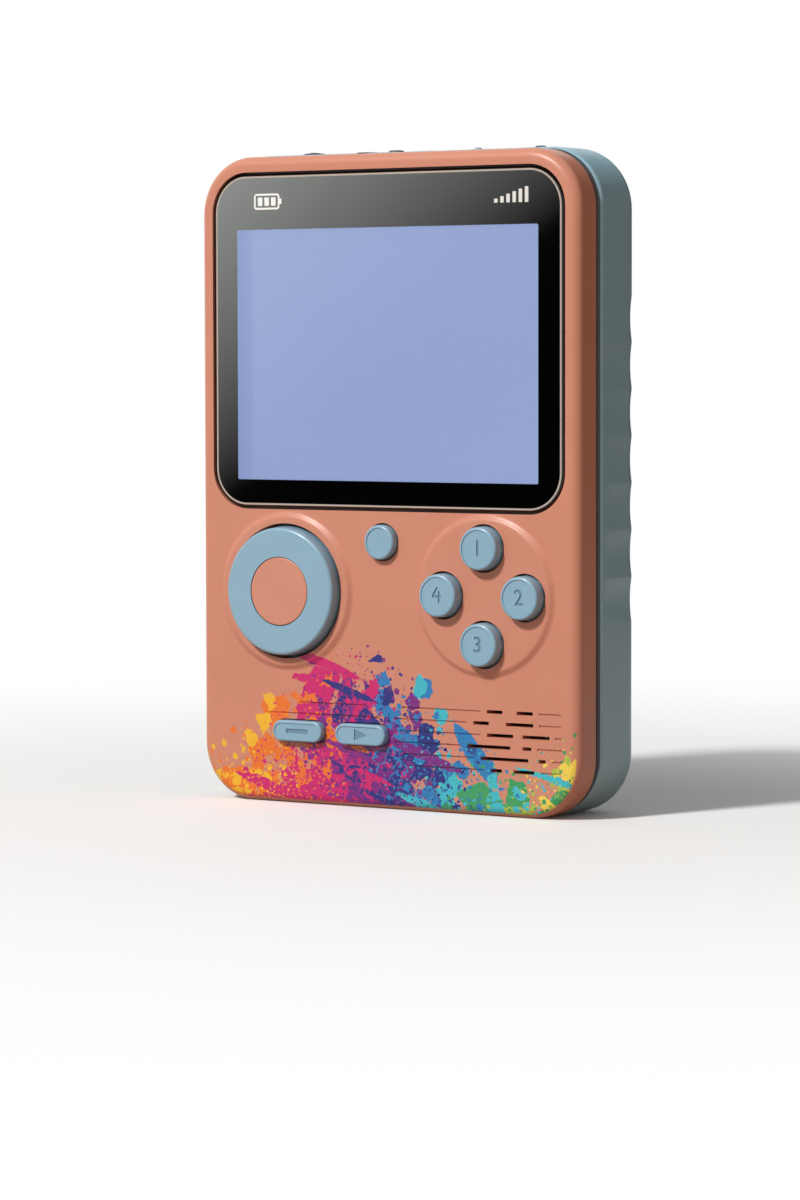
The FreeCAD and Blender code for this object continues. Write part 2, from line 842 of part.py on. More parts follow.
def direction_pad():
    """The ring-shaped rocker: a hollow dish with a hub, four press feet and a seat for the centre cap."""
    top = -plateau_rise - pad_proud
    body = cone(pad_top_radius, pad_base_radius, pad_x, pad_z, top, face_wall)
    body = rounded_at(body, top, pad_edge_round)
    skirt = disc(pad_base_radius, pad_x, pad_z, face_wall - 0.01, pad_foot_depth)
    flange = disc(pad_flange_radius, pad_x, pad_z, pad_flange_depth, pad_foot_depth)
    body = joined(body, skirt, flange)
    seat_floor = top + cap_thickness
    inner_wall = pad_top_radius - pad_skin
    hollow = turned(
        [(pad_hub_radius, pad_foot_depth + 1), (inner_wall, pad_foot_depth + 1), (inner_wall, top + pad_skin),
         (cap_radius + pad_skin, top + pad_skin), (cap_radius + pad_skin, seat_floor + pad_skin),
         (pad_hub_radius, seat_floor + pad_skin)],
        pad_x, pad_z,
    )
    feet = [disc(pad_foot_radius, x, z, top + pad_skin - 0.2, pad_foot_depth) for x, z in pad_foot_places]
    seat = disc(cap_radius + cap_gap, pad_x, pad_z, top - 1, seat_floor)
    body = joined(body.cut(hollow), *feet)
    below_ball = disc(pad_hub_radius + 0.01, pad_x, pad_z, ball_depth - running_gap, pad_foot_depth + 1)
    socket = Part.makeSphere(ball_radius + ball_play, point(pad_x, ball_depth, pad_z))
    return body.cut([seat, below_ball, socket])


def pad_centre_cap():
    top = -plateau_rise - pad_proud
    cap = disc(cap_radius, pad_x, pad_z, top, top + cap_thickness)
    return rounded_at(cap, top, 0.2)


def pad_pivot_ball():
    return Part.makeSphere(ball_radius, point(pad_x, ball_depth, pad_z))


# Push buttons


def round_button(x, z, top_radius, base_radius, top, edge_round):
    body = cone(top_radius, base_radius, x, z, top, face_wall)
    body = rounded_at(body, top, edge_round)
    skirt = disc(base_radius, x, z, face_wall - 0.01, button_flange_depth + button_flange_thickness)
    flange = disc(
        base_radius + button_flange_width, x, z, button_flange_depth,
        button_flange_depth + button_flange_thickness,
    )
    body = joined(body, skirt, flange)
    hollow = disc(top_radius - button_skin, x, z, top + button_skin, button_foot_depth)
    stem = disc((top_radius - button_skin) * 0.6, x, z, top + button_skin - 0.2, button_foot_depth)
    dish = disc(top_radius - button_rim, x, z, top - 1, top + button_dish)
    return joined(body.cut([hollow, dish]), stem)


def face_button(place):
    return round_button(*place, button_top_radius, button_base_radius, -front_overhang, button_edge_round)


def menu_round_button():
    return round_button(round_x, round_z, round_radius - 0.15, round_radius, -menu_proud, menu_edge_round)


def pill_button(x):
    top = -menu_proud
    flange_end = button_flange_depth + button_flange_thickness
    body = pill(pill_length, pill_height, x, pill_z, top, flange_end)
    body = rounded_at(body, top, menu_edge_round)
    flange = pill(pill_length + 2 * button_flange_width, pill_height + 2 * button_flange_width, x, pill_z,
                  button_flange_depth, flange_end)
    hollow = pill(
        pill_length - 2 * button_skin, pill_height - 2 * button_skin, x, pill_z, top + button_skin,
        flange_end + 1,
    )
    dish = pill(
        pill_length - 2 * button_rim, pill_height - 2 * button_rim, x, pill_z, top - 1, top + button_dish
    )
    stem = disc((pill_height / 2 - button_skin) * 0.7, x, pill_z, top + button_skin - 0.2, button_foot_depth)
    return joined(joined(body, flange).cut([hollow, dish]), stem)


# Silicone keypads


def dome(x, z, top_depth):
    """One collapsible dome, closed at the top and open to the board below."""
    return cone(dome_top_radius, dome_base_radius, x, z, top_depth, sheet_depth + 0.01)


def dome_room(x, z, top_depth):
    return cone(
        dome_top_radius - dome_wall, dome_base_radius - dome_wall, x, z, top_depth + dome_wall,
        board_front_depth
    )


def keypad(sheet, places, top_depth):
    domes = [dome(x, z, top_depth) for x, z in places]
    rooms = [dome_room(x, z, top_depth) for x, z in places]
    return joined(sheet, *domes).cut(rooms)


def pad_keypad():
    sheet = disc(pad_sheet_radius, pad_x, pad_z, sheet_depth, board_front_depth)
    sheet = sheet.cut(disc(pad_hub_radius + 1, pad_x, pad_z, sheet_depth, board_front_depth))
    return keypad(sheet, pad_foot_places, pad_foot_depth + dome_gap)


def cluster_keypad():
    sheet = disc(cluster_sheet_radius, cluster_x, cluster_z, sheet_depth, board_front_depth)
    return keypad(sheet, list(cluster_places.values()), button_foot_depth + dome_gap)


def menu_round_keypad():
    sheet = disc(round_sheet_radius, round_x, round_z, sheet_depth, board_front_depth)
    return keypad(sheet, [(round_x, round_z)], button_foot_depth + dome_gap)


def menu_pill_keypad():
    width = pill_right_x - pill_left_x + pill_length + 2 * pill_sheet_margin
    sheet = plate(width, pill_height + 2 * pill_sheet_margin, 1.5, (pill_left_x + pill_right_x) / 2, pill_z,
                  sheet_depth, board_front_depth)
    return keypad(sheet, [(pill_left_x, pill_z), (pill_right_x, pill_z)], button_foot_depth + dome_gap)


def key_contacts():
    """Round gold contacts on the board, one under each dome."""
    places = pad_foot_places + list(cluster_places.values())
    places += [(round_x, round_z), (pill_left_x, pill_z), (pill_right_x, pill_z)]
    return Part.makeCompound([
        disc(contact_radius, x, z, board_front_depth - contact_thickness, board_front_depth)
        for x, z in places
    ])


# Circuit board and what is soldered to it


def main_board():
    board = plate(
        inner_width - 2 * board_margin, inner_height - 2 * board_margin,
        corner_radius - side_wall - board_margin, 0, middle_z, board_front_depth, board_back_depth,
    )
    cuts = [
        disc(boss_radius + board_screw_clearance, x, z, board_front_depth - 1, board_back_depth + 1)
        for x, z in case_screw_places
    ]
    cuts += [
        disc(screw_radius + board_screw_clearance, x, z, board_front_depth - 1, board_back_depth + 1)
        for x, z in board_screw_places
    ]
    cuts.append(
        disc(
            speaker_radius + speaker_play + speaker_fence + 0.2, speaker_x, speaker_z,
            board_front_depth - 1, board_back_depth + 1,
        ),
    )
    rim = contact_thickness
    for pad in key_contacts().Solids:
        centre = pad.CenterOfMass
        cuts.append(disc(contact_radius, centre.x, centre.z, board_front_depth - 1, board_front_depth + rim))
    return board.cut(cuts)


def board_chips():
    """The processor, the memory and the sound amplifier."""
    top, side = case_height, half_width
    processor_z = bay_bottom_z + bay_length + 12.2
    chips = [
        plate(13.0, 13.0, 0.3, 0, processor_z, board_back_depth, board_back_depth + 1.4),
        plate(12.0, 18.0, 0.3, 12.5 - side, top - 36.0, board_back_depth, board_back_depth + 1.1),
        plate(5.0, 6.4, 0.2, side - 14.0, top - 18.0, board_back_depth, board_back_depth + 1.6),
    ]
    return Part.makeCompound(chips)


def board_capacitors():
    radius, height = 2.4, 4.2
    x, z = half_width - 12.0, case_height - 28.0
    places = ((x, z), (x, z - 7.0), (x - 14.0, z + 13.0))
    cans = [disc(radius, x, z, board_back_depth, board_back_depth + height) for x, z in places]
    return Part.makeCompound(cans)


def volume_pot():
    half = pot_size / 2
    base_end = wheel_depth - running_gap
    base = box(wheel_x - half, wheel_x + half, board_back_depth, base_end, wheel_z - half, wheel_z + half)
    shaft = disc(
        wheel_bore_radius - pot_shaft_play, wheel_x, wheel_z, base_end - 0.01,
        wheel_depth + wheel_thickness + 0.3,
    )
    return joined(base, shaft)


def volume_wheel():
    """A thumb wheel with a notched rim and a finger recess round its hub."""
    end = wheel_depth + wheel_thickness
    wheel = disc(wheel_radius, wheel_x, wheel_z, wheel_depth, end)
    cuts = [disc(wheel_bore_radius, wheel_x, wheel_z, wheel_depth - 1, end + 1)]
    cuts.append(tube(wheel_radius - 1.6, wheel_bore_radius + 1.2, wheel_x, wheel_z, end - 0.5, end + 1))
    for i in range(wheel_notches):
        a = 2 * math.pi * i / wheel_notches
        x, z = wheel_x + wheel_radius * math.cos(a), wheel_z + wheel_radius * math.sin(a)
        cuts.append(disc(wheel_notch_radius, x, z, wheel_depth - 1, end + 1))
    return wheel.cut(cuts)


def switch_channel(grow):
    half = slider_width / 2 + slider_foot_margin + grow
    z1 = inner_top_z - inside_gap
    t = slider_thickness / 2 + grow
    return box(slider_x - half, slider_x + slider_travel + half, slider_depth - t, slider_depth + t,
               z1 - slider_foot_height - grow, z1 + grow)


def power_switch():
    centre = slider_x + slider_travel / 2
    z1 = inner_top_z - inside_gap
    half = switch_length / 2
    body = box(
        centre - half, centre + half, board_back_depth, board_back_depth + switch_thickness,
        z1 - switch_height, z1,
    )
    return body.cut(switch_channel(slider_play))


def power_slider():
    z1 = inner_top_z - inside_gap
    foot_half = slider_width / 2 + slider_foot_margin
    t = slider_thickness / 2
    foot = box(
        slider_x - foot_half, slider_x + foot_half, slider_depth - t, slider_depth + t,
        z1 - slider_foot_height, z1,
    )
    half = slider_width / 2
    nub = box(
        slider_x - half, slider_x + half, slider_depth - t, slider_depth + t, z1 - 0.1,
        rear_top_z + slider_proud,
    )
    top_edges = [e for e in nub.Edges if e.BoundBox.ZMin > rear_top_z + slider_proud - 1e-4]
    nub = nub.makeFillet(0.35, top_edges)
    return joined(foot, nub)


def av_jack():
    """A round audio and video socket: a block on the board with a nose through the top edge."""
    top = rear_top_z + jack_nose_proud
    z1 = inner_top_z - inside_gap
    body = box(jack_x - jack_body_width / 2, jack_x + jack_body_width / 2, board_back_depth,
               board_back_depth + jack_body_thickness, z1 - jack_body_length, z1)
    nose = Part.makeCylinder(jack_nose_radius, top - z1 + 0.1, point(jack_x, jack_depth, z1 - 0.1))
    rim = [e for e in nose.Edges if e.BoundBox.ZMin > top - 1e-4]
    nose = nose.makeFillet(0.2, rim)
    bore = Part.makeCylinder(
        jack_bore_radius, jack_bore_length + 1, point(jack_x, jack_depth, top - jack_bore_length)
    )
    return joined(body, nose).cut(bore)


def socket_shell(x):
    """The folded metal shell of a small socket, with the contact tongue inside."""
    top = rear_top_z - port_sink
    outer = port_block(0, x, top - port_length, top)
    room = port_block(-port_metal, x, top - port_length + port_metal, top + 1)
    tongue_w = port_width - 4 * port_metal - 1.2
    tongue = box(x - tongue_w / 2, x + tongue_w / 2, port_depth - port_tongue_thickness / 2,
                 port_depth + port_tongue_thickness / 2, top - port_length + port_metal / 2, top - 1.2)
    legs = [
        box(x + dx - 0.5, x + dx + 0.5, board_back_depth, port_depth - port_thickness / 2 + 0.1,
            top - port_length + 0.3, top - port_length + 1.5)
        for dx in (-port_width / 2 + 0.8, port_width / 2 - 0.8)
    ]
    return joined(outer.cut(room), tongue, *legs)


def charge_port():
    return socket_shell(charge_port_x)


def player_two_port():
    return socket_shell(player_port_x)


def power_light_pipe():
    """A clear rod that carries the light of a lamp on the board to the top edge."""
    top = rear_top_z + light_proud
    low = inner_top_z - 4.0
    rod = Part.makeCylinder(light_radius, top - low, point(light_x, small_part_depth, low))
    rim = [e for e in rod.Edges if e.BoundBox.ZMin > top - 1e-4]
    rod = rod.makeFillet(light_radius * 0.6, rim)
    foot = box(
        light_x - 1.0, light_x + 1.0, board_back_depth, small_part_depth + light_radius, low, low + 1.8
    )
    return joined(rod, foot)


def reset_button():
    top = rear_top_z + reset_proud
    flange_top = inner_top_z - running_gap
    flange_low = flange_top - reset_flange_height
    stem = Part.makeCylinder(reset_radius, top - flange_low, point(reset_x, small_part_depth, flange_low))
    rim = [e for e in stem.Edges if e.BoundBox.ZMin > top - 1e-4]
    stem = stem.makeFillet(0.3, rim)
    flange = Part.makeCylinder(
        reset_radius + reset_flange_width - 0.2, reset_flange_height, point(
            reset_x, small_part_depth, flange_low
        )
    )
    return joined(stem, flange)


def reset_switch():
    """The small push switch below the reset button."""
    plunger_top = inner_top_z - running_gap - reset_flange_height - reset_travel - 0.05
    body_top = plunger_top - 0.5
    half = tact_width / 2
    body = box(
        reset_x - half, reset_x + half, board_back_depth, small_part_depth + 1.6, body_top - tact_height,
        body_top,
    )
    plunger = Part.makeCylinder(0.9, 0.6, point(reset_x, small_part_depth, body_top - 0.1))
    return joined(body, plunger)


# Speaker


def speaker_frame():
    """The pressed basket: a flat rim, sloping sides and a back plate for the magnet."""
    start = face_wall + gasket_thickness
    end = face_wall + speaker_depth - magnet_thickness
    r, rim = speaker_radius, speaker_radius - speaker_flange
    thick = 0.5
    basket = turned(
        [(rim, start), (r, start), (r, start + thick), (rim + thick, start + thick),
         (magnet_radius + thick, end), (0, end), (0, end - thick),
         (magnet_radius, end - thick), (rim, start + thick)],
        speaker_x, speaker_z,
    )
    tab_z = speaker_z + magnet_radius + 2.2
    tab = box(speaker_x - 4.0, speaker_x + 4.0, end - 1.4, board_back_depth - 0.05, tab_z - 0.6, tab_z + 0.6)
    return joined(basket, tab)


def speaker_cone():
    start = face_wall + gasket_thickness
    rim = speaker_radius - speaker_flange
    thick = 0.2
    return turned(
        [(0, start + 0.55), (1.8, start + 0.75), (rim - 1.2, start + 0.15), (rim - 0.05, start + 0.3),
         (rim - 0.05, start + 0.3 + thick), (rim - 1.2, start + 0.15 + thick),
         (1.8, start + 0.75 + thick), (0, start + 0.55 + thick)],
        speaker_x, speaker_z,
    )


def speaker_magnet():
    end = face_wall + speaker_depth
    magnet = disc(magnet_radius, speaker_x, speaker_z, end - magnet_thickness, end)
    return rounded_at(magnet, end, 0.3)


def speaker_gasket():
    return tube(
        speaker_radius, speaker_radius - speaker_flange + 0.2, speaker_x, speaker_z, face_wall,
        face_wall + gasket_thickness,
    )


def speaker_leads():
    """Two short insulated wires, six-sided in section, that arch from the speaker's tab to the board."""
    span, radius = 3.2, 0.45
    leads = []
    tab_z = speaker_z + magnet_radius + 2.2
    for x in (speaker_x - 2.4, speaker_x + 2.4):
        corners = []
        for i in range(7):
            a = math.pi * i / 3
            corners.append(point(x + radius * math.sin(a), board_back_depth, tab_z + radius * math.cos(a)))
        section = Part.Face(Part.makePolygon(corners))
        centre = point(x, board_back_depth, tab_z + span)
        leads.append(section.revolve(centre, FreeCAD.Vector(1, 0, 0), 180))
    return Part.makeCompound(leads)


# Battery and door


def battery():
    z = bay_bottom_z + battery_play + battery_length / 2
    cell = plate(
        battery_width, battery_length, 2.0, 0, z, bay_floor_depth, bay_floor_depth + battery_thickness
    )
    cell = rounded_at(cell, bay_floor_depth, battery_round)
    return rounded_at(cell, bay_floor_depth + battery_thickness, battery_round)


def battery_terminals():
    """Three bent spring blades between the board and the battery's upper end."""
    end_z = bay_bottom_z + battery_play + battery_length
    gap = 0.1
    top = bay_floor_depth + battery_thickness / 2
    blades = []
    for i in (-1, 0, 1):
        x0 = i * terminal_spacing - terminal_width / 2
        leg_z = end_z + gap + 0.9
        path = [
            (board_back_depth, leg_z), (bay_floor_depth + 0.6, leg_z), (top, end_z + gap),
            (top + 0.8, leg_z), (top + 0.8, leg_z + terminal_thickness), (
                top - 0.2, end_z + gap + terminal_thickness + 0.3
            ),
            (bay_floor_depth + 0.7, leg_z + terminal_thickness), (
                board_back_depth, leg_z + terminal_thickness
            ),
        ]
        wire = Part.makePolygon([point(x0, d, z) for d, z in path + path[:1]])
        blades.append(Part.Face(wire).extrude(FreeCAD.Vector(terminal_width, 0, 0)))
    return Part.makeCompound(blades)


def battery_door():
    door = plate(opening_width - 2 * door_gap, opening_height - 2 * door_gap, door_corner_radius - door_gap,
                 0, bay_z, door_depth, case_depth)
    hooks = []
    bottom = opening_bottom_z + door_gap
    for side in (-1, 1):
        x = side * hook_x
        hooks.append(box(x - hook_width / 2, x + hook_width / 2, case_depth - hook_inset - hook_thickness,
                         case_depth - hook_inset, bottom - hook_reach, bottom + 1))
    door = joined(door, *hooks)
    ribs = []
    for i in range(door_rib_count):
        z = opening_bottom_z + opening_height - 5 - i * door_rib_pitch
        ribs.append(
            pill(door_rib_length, door_rib_pitch / 2, 0, z, case_depth - door_rib_depth, case_depth + 1)
        )
    return door.cut(ribs)


# Fasteners


def pan_screw(x, z, seat_depth, length, radius, head_r, head_h):
    """A self-tapping screw with its head towards the back."""
    shank = disc(radius, x, z, seat_depth - length, seat_depth + 0.1)
    return joined(shank, disc(head_r, x, z, seat_depth, seat_depth + head_h))


def case_screws():
    length = head_seat_depth - (boss_joint_depth - screw_bite)
    return Part.makeCompound([
        pan_screw(x, z, head_seat_depth, length, screw_radius, head_radius, head_height)
        for x, z in case_screw_places
    ])


def board_screws():
    return Part.makeCompound([
        pan_screw(
            x, z, board_back_depth, board_thickness + board_screw_bite, screw_radius, board_head_radius,
            board_head_height,
        )
        for x, z in board_screw_places
    ])


makers = {
    "front_shell": front_shell,
    "rear_shell": rear_shell,
    "screen_lens": screen_lens,
    "lens_tape": lens_tape,
    "lcd_gasket": lcd_gasket,
    "lcd_panel": lcd_panel,
    "lcd_backlight": lcd_backlight,
    "lcd_frame": lcd_frame,
    "lcd_flex_cable": lcd_flex_cable,
    "lcd_tape_strips": lcd_tape_strips,
    "direction_pad": direction_pad,
    "pad_centre_cap": pad_centre_cap,
    "pad_pivot_ball": pad_pivot_ball,
    "menu_round_button": menu_round_button,
    "menu_left_button": lambda: pill_button(pill_left_x),
    "menu_right_button": lambda: pill_button(pill_right_x),
    "pad_keypad": pad_keypad,
    "cluster_keypad": cluster_keypad,
    "menu_round_keypad": menu_round_keypad,
    "menu_pill_keypad": menu_pill_keypad,
    "key_contacts": key_contacts,
    "main_board": main_board,
    "board_chips": board_chips,
    "board_capacitors": board_capacitors,
    "volume_pot": volume_pot,
    "volume_wheel": volume_wheel,
    "power_switch": power_switch,
    "power_slider": power_slider,
    "av_jack": av_jack,
    "charge_port": charge_port,
    "player_two_port": player_two_port,
    "power_light_pipe": power_light_pipe,
    "reset_button": reset_button,
    "reset_switch": reset_switch,
    "speaker_frame": speaker_frame,
    "speaker_cone": speaker_cone,
    "speaker_magnet": speaker_magnet,
    "speaker_gasket": speaker_gasket,
    "speaker_leads": speaker_leads,
    "battery": battery,
    "battery_terminals": battery_terminals,
    "battery_door": battery_door,
    "case_screws": case_screws,
    "board_screws": board_screws,
}
for name, place in cluster_places.items():
    makers[name] = lambda place=place: face_button(place)

os.makedirs("parts", exist_ok=True)
for name, make in makers.items():
    shape = make()
    print(f"{name}: {len(shape.Solids)} solids, valid {shape.isValid()}, volume {shape.Volume:.2f}")
    shape.exportStep(os.path.join("parts", name + ".step"))
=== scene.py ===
import json
import math

import bmesh
import bpy
from mathutils import Matrix, Vector

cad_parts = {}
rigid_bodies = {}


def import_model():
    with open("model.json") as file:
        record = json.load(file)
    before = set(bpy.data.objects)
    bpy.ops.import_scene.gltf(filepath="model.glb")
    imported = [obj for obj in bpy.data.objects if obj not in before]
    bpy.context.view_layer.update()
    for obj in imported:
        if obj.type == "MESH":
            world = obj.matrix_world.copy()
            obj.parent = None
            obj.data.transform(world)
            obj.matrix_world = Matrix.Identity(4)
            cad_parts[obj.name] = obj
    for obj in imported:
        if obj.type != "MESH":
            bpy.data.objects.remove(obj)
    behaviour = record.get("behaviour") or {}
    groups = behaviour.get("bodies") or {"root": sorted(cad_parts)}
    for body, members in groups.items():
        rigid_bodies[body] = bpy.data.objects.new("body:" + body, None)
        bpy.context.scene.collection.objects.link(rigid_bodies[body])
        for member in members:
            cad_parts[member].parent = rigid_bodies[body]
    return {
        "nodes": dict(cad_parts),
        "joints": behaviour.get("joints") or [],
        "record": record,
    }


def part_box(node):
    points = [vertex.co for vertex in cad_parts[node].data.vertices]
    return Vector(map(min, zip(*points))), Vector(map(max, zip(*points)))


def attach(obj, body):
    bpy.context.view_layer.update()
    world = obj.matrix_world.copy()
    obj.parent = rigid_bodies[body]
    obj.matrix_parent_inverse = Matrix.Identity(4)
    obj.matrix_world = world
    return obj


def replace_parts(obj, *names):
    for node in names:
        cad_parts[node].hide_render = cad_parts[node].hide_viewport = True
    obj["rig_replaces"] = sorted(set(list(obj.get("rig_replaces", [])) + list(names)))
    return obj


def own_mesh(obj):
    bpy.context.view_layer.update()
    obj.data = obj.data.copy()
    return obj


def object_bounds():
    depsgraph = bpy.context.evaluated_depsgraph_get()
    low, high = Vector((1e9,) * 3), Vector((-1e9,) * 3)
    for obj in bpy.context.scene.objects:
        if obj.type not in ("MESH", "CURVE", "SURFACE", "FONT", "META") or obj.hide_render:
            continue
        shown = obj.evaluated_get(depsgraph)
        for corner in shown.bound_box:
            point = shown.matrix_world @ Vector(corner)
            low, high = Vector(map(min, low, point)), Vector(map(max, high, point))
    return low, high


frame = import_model()
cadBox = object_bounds()
nodes = frame["nodes"]
mm = 0.001
record = frame["record"]
bodyOf = {node: body for body, members in record["behaviour"]["bodies"].items() for node in members}
slotOf = {row["node"]: row["material_slot"] for row in record["subparts"]}
print("frame loaded:", len(nodes), "nodes")


# Colours and shader maths

def tone(red, green, blue):  # a colour picked on screen, 0 to 255, as the shader wants it
    shares = [channel / 255 for channel in (red, green, blue)]
    linear = [c / 12.92 if c <= 0.04 else ((c + 0.055) / 1.055) ** 2.4 for c in shares]
    return (*linear, 1.0)


class Wire:  # one output socket; arithmetic on it adds Math nodes to its finish
    def __init__(self, finish, socket):
        self.finish = finish
        self.socket = socket

    def maths(self, operation, *values):
        return self.finish.node("ShaderNodeMath", {"operation": operation}, dict(enumerate(values)))

    def __add__(self, other):
        return self.maths("ADD", self, other)

    def __radd__(self, other):
        return self.maths("ADD", other, self)

    def __sub__(self, other):
        return self.maths("SUBTRACT", self, other)

    def __rsub__(self, other):
        return self.maths("SUBTRACT", other, self)

    def __mul__(self, other):
        return self.maths("MULTIPLY", self, other)

    def __rmul__(self, other):
        return self.maths("MULTIPLY", other, self)

    def __truediv__(self, other):
        return self.maths("DIVIDE", self, other)

    def __abs__(self):
        return self.maths("ABSOLUTE", self)

    def larger(self, other):
        return self.maths("MAXIMUM", self, other)

    def smaller(self, other):
        return self.maths("MINIMUM", self, other)

    def wave(self):
        return self.maths("SINE", self)

    def repeat(self, length):  # 0 to length, over and over
        return self.maths("FLOORED_MODULO", self, length)

    def fade(self, start, end):  # 0 before start, 1 after end, and the other way round when start > end
        return self.finish.node(
            "ShaderNodeMapRange", {"interpolation_type": "SMOOTHSTEP"},
            {"Value": self, "From Min": start, "From Max": end},
        )


class Finish:  # one material, with its place in millimetres and its shader ready
    def __init__(self, name, **constants):
        self.material = bpy.data.materials.new(name)
        self.material.use_nodes = True
        self.tree = self.material.node_tree
        self.tree.nodes.clear()
        self.shader = self.tree.nodes.new("ShaderNodeBsdfPrincipled")
        self.output = self.tree.nodes.new("ShaderNodeOutputMaterial")
        self.tree.links.new(self.shader.outputs[0], self.output.inputs["Surface"])
        for socket, value in constants.items():
            self.shader.inputs[socket.replace("_", " ")].default_value = value
        metres = self.node("ShaderNodeTexCoord", output="Object")
        self.place = self.vector("SCALE", metres, Scale=1 / mm)
        self.x, self.y, self.z = self.split(self.place)

    def node(self, kind, settings=None, inputs=None, output=0):
        made = self.tree.nodes.new(kind)
        for name, value in (settings or {}).items():
            if name == "stops":
                self.setStops(made.color_ramp, value)
            else:
                setattr(made, name, value)
        for key, value in (inputs or {}).items():
            self.feed(made.inputs[key], value)
        return Wire(self, made.outputs[output])

    def setStops(self, ramp, stops):
        ramp.interpolation = "CONSTANT"
        while len(ramp.elements) < len(stops):
            ramp.elements.new(1.0)
        for element, (position, colour) in zip(ramp.elements, stops):
            element.position = position
            element.color = colour

    def feed(self, socket, value):
        if isinstance(value, Wire):
            self.tree.links.new(value.socket, socket)
        else:
            socket.default_value = value

    def vector(self, operation, first, second=None, **others):
        inputs = {0: first, **others}
        if second is not None:
            inputs[1] = second
        return self.node("ShaderNodeVectorMath", {"operation": operation}, inputs)

    def length(self, place):
        return self.node("ShaderNodeVectorMath", {"operation": "LENGTH"}, {0: place}, "Value")

    def split(self, place):
        made = self.node("ShaderNodeSeparateXYZ", inputs={0: place})
        outputs = made.socket.node.outputs
        return [Wire(self, outputs[i]) for i in range(3)]

    def join(self, x, y, z=0.0):
        return self.node("ShaderNodeCombineXYZ", inputs={0: x, 1: y, 2: z})

    def noise(self, perMm, detail=3.0, rough=0.5, place=None, stretch=(1, 1, 1), output=0):
        place = self.vector("MULTIPLY", place or self.place, stretch)
        return self.node(
            "ShaderNodeTexNoise", {"noise_dimensions": "3D"},
            {"Vector": place, "Scale": perMm, "Detail": detail, "Roughness": rough}, output,
        )

    def cells(self, place, perMm, output, feature="F1", loose=1.0):
        return self.node(
            "ShaderNodeTexVoronoi", {"voronoi_dimensions": "2D", "feature": feature},
            {"Vector": place, "Scale": perMm, "Randomness": loose}, output,
        )

    def mix(self, mask, first, second):
        return self.node("ShaderNodeMix", {"data_type": "RGBA"}, {0: mask, 6: first, 7: second}, 2)

    def colour(self, wire):
        self.feed(self.shader.inputs["Base Color"], wire)

    def rough(self, wire):
        self.feed(self.shader.inputs["Roughness"], wire)

    def bump(self, height, depthMm, strength=1.0):
        normal = self.node(
            "ShaderNodeBump", inputs={"Height": height, "Distance": depthMm * mm, "Strength": strength}
        )
        self.feed(self.shader.inputs["Normal"], normal)

    def fromFrame(self, centreX, centreZ, halfWidth, halfHeight, corner):
        # signed distance in mm to a rectangle with round corners, seen from the front
        dx = abs(self.x - centreX) - (halfWidth - corner)
        dz = abs(self.z - centreZ) - (halfHeight - corner)
        outside = self.length(self.join(dx.larger(0.0), dz.larger(0.0)))
        return outside + dx.larger(dz).smaller(0.0) - corner

    def showThrough(self, mask, other):  # the other shader takes over where the mask is 1
        both = self.tree.nodes.new("ShaderNodeMixShader")
        self.feed(both.inputs[0], mask)
        self.tree.links.new(self.shader.outputs[0], both.inputs[1])
        self.tree.links.new(other.outputs[0], both.inputs[2])
        self.tree.links.new(both.outputs[0], self.output.inputs["Surface"])


print("shader tools ready")


# Plastics of the case

salmon = {"colour": tone(213, 143, 118), "deep": tone(203, 132, 108), "rough": 0.36, "grainPerMm": 5.0,
          "grainDepth": 0.012}
skyBlue = {"colour": tone(140, 180, 203), "deep": tone(129, 170, 194), "rough": 0.34, "grainPerMm": 6.0,
           "grainDepth": 0.010}
rearBlue = {"colour": tone(160, 197, 212), "deep": tone(148, 186, 202), "rough": 0.42, "grainPerMm": 4.0,
            "grainDepth": 0.022}
moulding = {"mottlePerMm": 0.09, "mottleShare": 0.6, "flowPerMm": 0.03, "flowStretch": (1, 1, 3),
            "smoothest": 0.05, "mottleDulls": 0.08, "grainDulls": 0.05}
# the dark tone on each side of the seam is painted shade of the groove between the shells
seam = {"lip": 1.05, "front": 0.34, "rear": 0.42, "soft": 0.22, "dust_and_shade": tone(34, 32, 32)}
faceBehindRounds = 0.6  # mm from the raised rounds back to the flat face
lensLook = {
    "window": (63.6, 44.8), "windowUp": 10.0, "windowCorner": 0.3, "windowSoft": 0.03, "corner": 7.0,
    "line": (0.44, 0.76), "lineSoft": 0.05, "backFrom": (0.4, 0.8), "backGrows": 1.3,
    # the pale outline colour is a painted highlight of the lens's bevelled edge
    "black": tone(3, 3, 3), "painted_bevel_glint": tone(184, 172, 162), "mark": tone(232, 232, 230),
}
# the dark tone in the pocket is painted shade of the gap round the lens
pocket = {"play": 0.5, "below": 0.75, "soft": 0.2, "painted_pocket_shade": tone(26, 20, 19)}


def mouldedPlastic(name, look, **constants):
    finish = Finish(name, **constants)
    mottle = finish.noise(moulding["mottlePerMm"], 4.0, 0.6)
    grain = finish.noise(look["grainPerMm"], 2.0, 0.6)
    flow = finish.noise(moulding["flowPerMm"], 2.0, 0.5, stretch=moulding["flowStretch"])
    share = moulding["mottleShare"]
    finish.plain = finish.mix(mottle * share + flow * (1 - share), look["deep"], look["colour"])
    finish.colour(finish.plain)
    smoothest = look["rough"] - moulding["smoothest"]
    finish.rough(smoothest + mottle * moulding["mottleDulls"] + grain * moulding["grainDulls"])
    finish.bump(grain, look["grainDepth"])
    return finish


